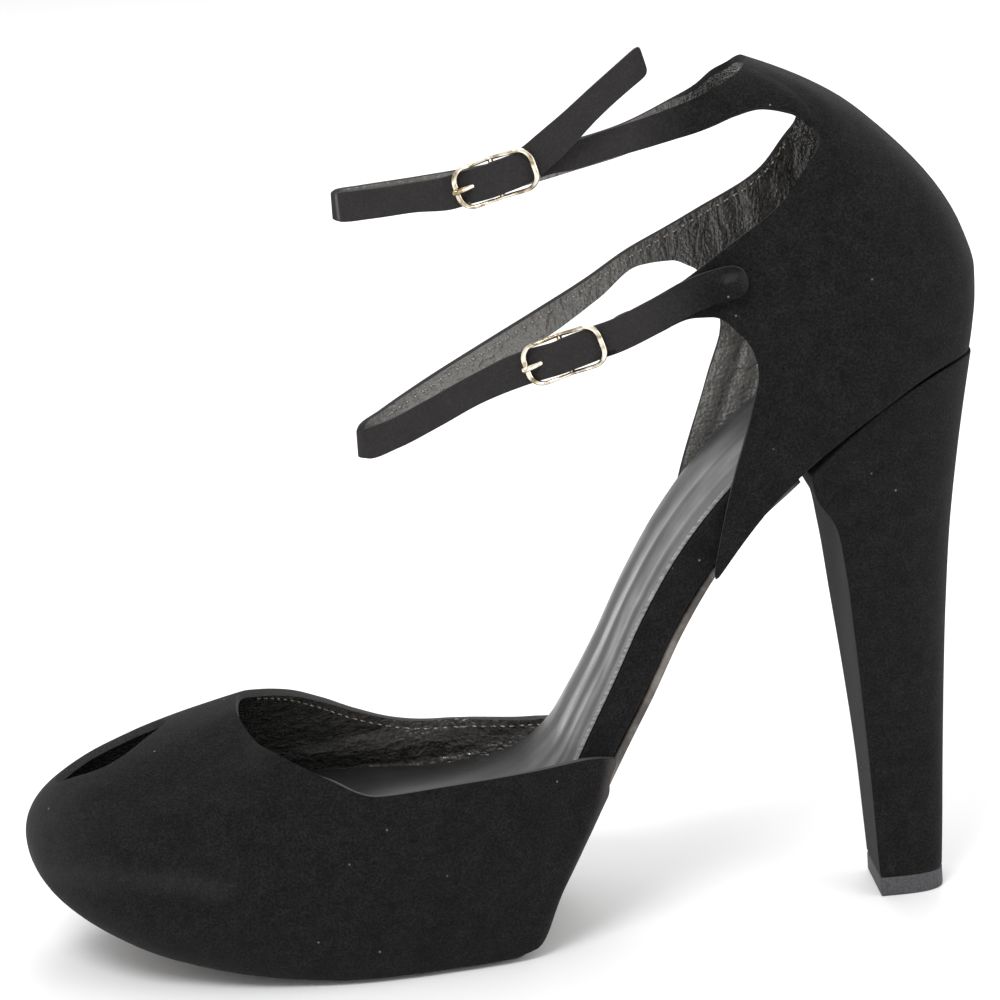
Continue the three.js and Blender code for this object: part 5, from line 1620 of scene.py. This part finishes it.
@dataclass
class Studio:
    """Floor, light and camera."""

    azimuth: float = -3.5
    elevation: float = 14.0
    roll: float = 4.0
    distance: float = 1000.0
    target: tuple[float, float, float] = (26.41, 0.68, 99.28)
    pixels_per_mm: float = 4.4
    image_width: float = 1000.0
    sensor: float = 36.0
    aim: tuple[float, float, float] = (0.02, 0, 0.09)
    sky: float = 0.95

    def build(self) -> None:
        """Build the whole studio, shown without a film curve."""
        bpy.context.scene.view_settings.view_transform = "Standard"
        self.build_floor()
        self.build_light()
        self.build_camera()

    def build_floor(self) -> None:
        """Lay a plain pale floor."""
        paint = bpy.data.materials.new("pale matt floor paint")
        paint.use_nodes = True
        shader = paint.node_tree.nodes["Principled BSDF"]
        shader.inputs["Base Color"].default_value = linear("f2f2f2")
        shader.inputs["Roughness"].default_value = 0.85
        mesh = bmesh.new()
        bmesh.ops.create_grid(mesh, x_segments=1, y_segments=1, size=6.0)
        floor = to_object("studio_floor", mesh, [paint])

    def add_light(self, name: str, place: tuple[float, float, float], size: float,
                  power: float) -> None:
        """Hang a square lamp that looks at the shoe.

        Args:
            name: Name of the lamp.
            place: Where it hangs, in metres.
            size: Side of the square in metres.
            power: Watts.
        """
        lamp = bpy.data.lights.new(name, "AREA")
        lamp.size = size
        lamp.energy = power
        item = bpy.data.objects.new(name, lamp)
        item.location = place
        way = Vector(self.aim) - Vector(place)
        item.rotation_euler = way.to_track_quat("-Z", "Y").to_euler()
        bpy.context.scene.collection.objects.link(item)

    def build_light(self) -> None:
        """Hang a soft key over the toe, a fill and a back light under a pale sky."""
        world = bpy.data.worlds.new("pale studio")
        world.use_nodes = True
        back = world.node_tree.nodes["Background"]
        back.inputs["Color"].default_value = linear("ffffff")
        back.inputs["Strength"].default_value = self.sky
        bpy.context.scene.world = world
        self.add_light("key", (-0.45, -0.95, 1.3), 0.6, 13)
        self.add_light("fill", (1.1, -1.0, 0.6), 1.0, 5)
        self.add_light("rim", (0.2, 1.1, 1.1), 0.8, 7)

    def build_camera(self) -> None:
        """Set the camera at the photograph's angle, rolled as the photograph is."""
        a, e, r = (math.radians(value) for value in (self.azimuth, self.elevation, self.roll))
        back = Vector((math.sin(a) * math.cos(e), -math.cos(a) * math.cos(e), math.sin(e)))
        right = Vector((0, 0, 1)).cross(back).normalized()
        up = back.cross(right)
        cam_right = right * math.cos(r) - up * math.sin(r)
        cam_up = right * math.sin(r) + up * math.cos(r)
        data = bpy.data.cameras.new("photo_camera")
        data.sensor_width = self.sensor
        data.lens = self.pixels_per_mm * self.distance * self.sensor / self.image_width
        data.clip_start = 0.05
        data.clip_end = 60.0
        camera = bpy.data.objects.new("photo_camera", data)
        turn = Matrix((cam_right, cam_up, back)).transposed().to_4x4()
        camera.matrix_world = Matrix.Translation((Vector(self.target) + back * self.distance) * MM) @ turn
        bpy.context.scene.collection.objects.link(camera)
        bpy.context.scene.camera = camera


def main() -> None:
    """Build the sandal's sub-assemblies in order, then the studio."""
    logging.basicConfig(level=logging.INFO, format="%(name)s: %(message)s")
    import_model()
    finishes = Finishes()
    lower = Buckle(finishes, "lower_buckle", Vector((33.3, -15.6, 132.8)),
                   Vector((50.1, -20.4, 138.4)))
    upper = Buckle(finishes, "upper_buckle", Vector((20.7, -11.2, 172.9)),
                   Vector((38.4, -14.6, 177.9)), 1.8)
    sole = SoleUnit(finishes)
    sole.build()
    Vamp(finishes).build()
    Quarter(finishes, lower, upper).build()
    lower.build()
    upper.build()
    Heel(finishes, sole).build()
    Studio().build()


if __name__ == "__main__":
    main()
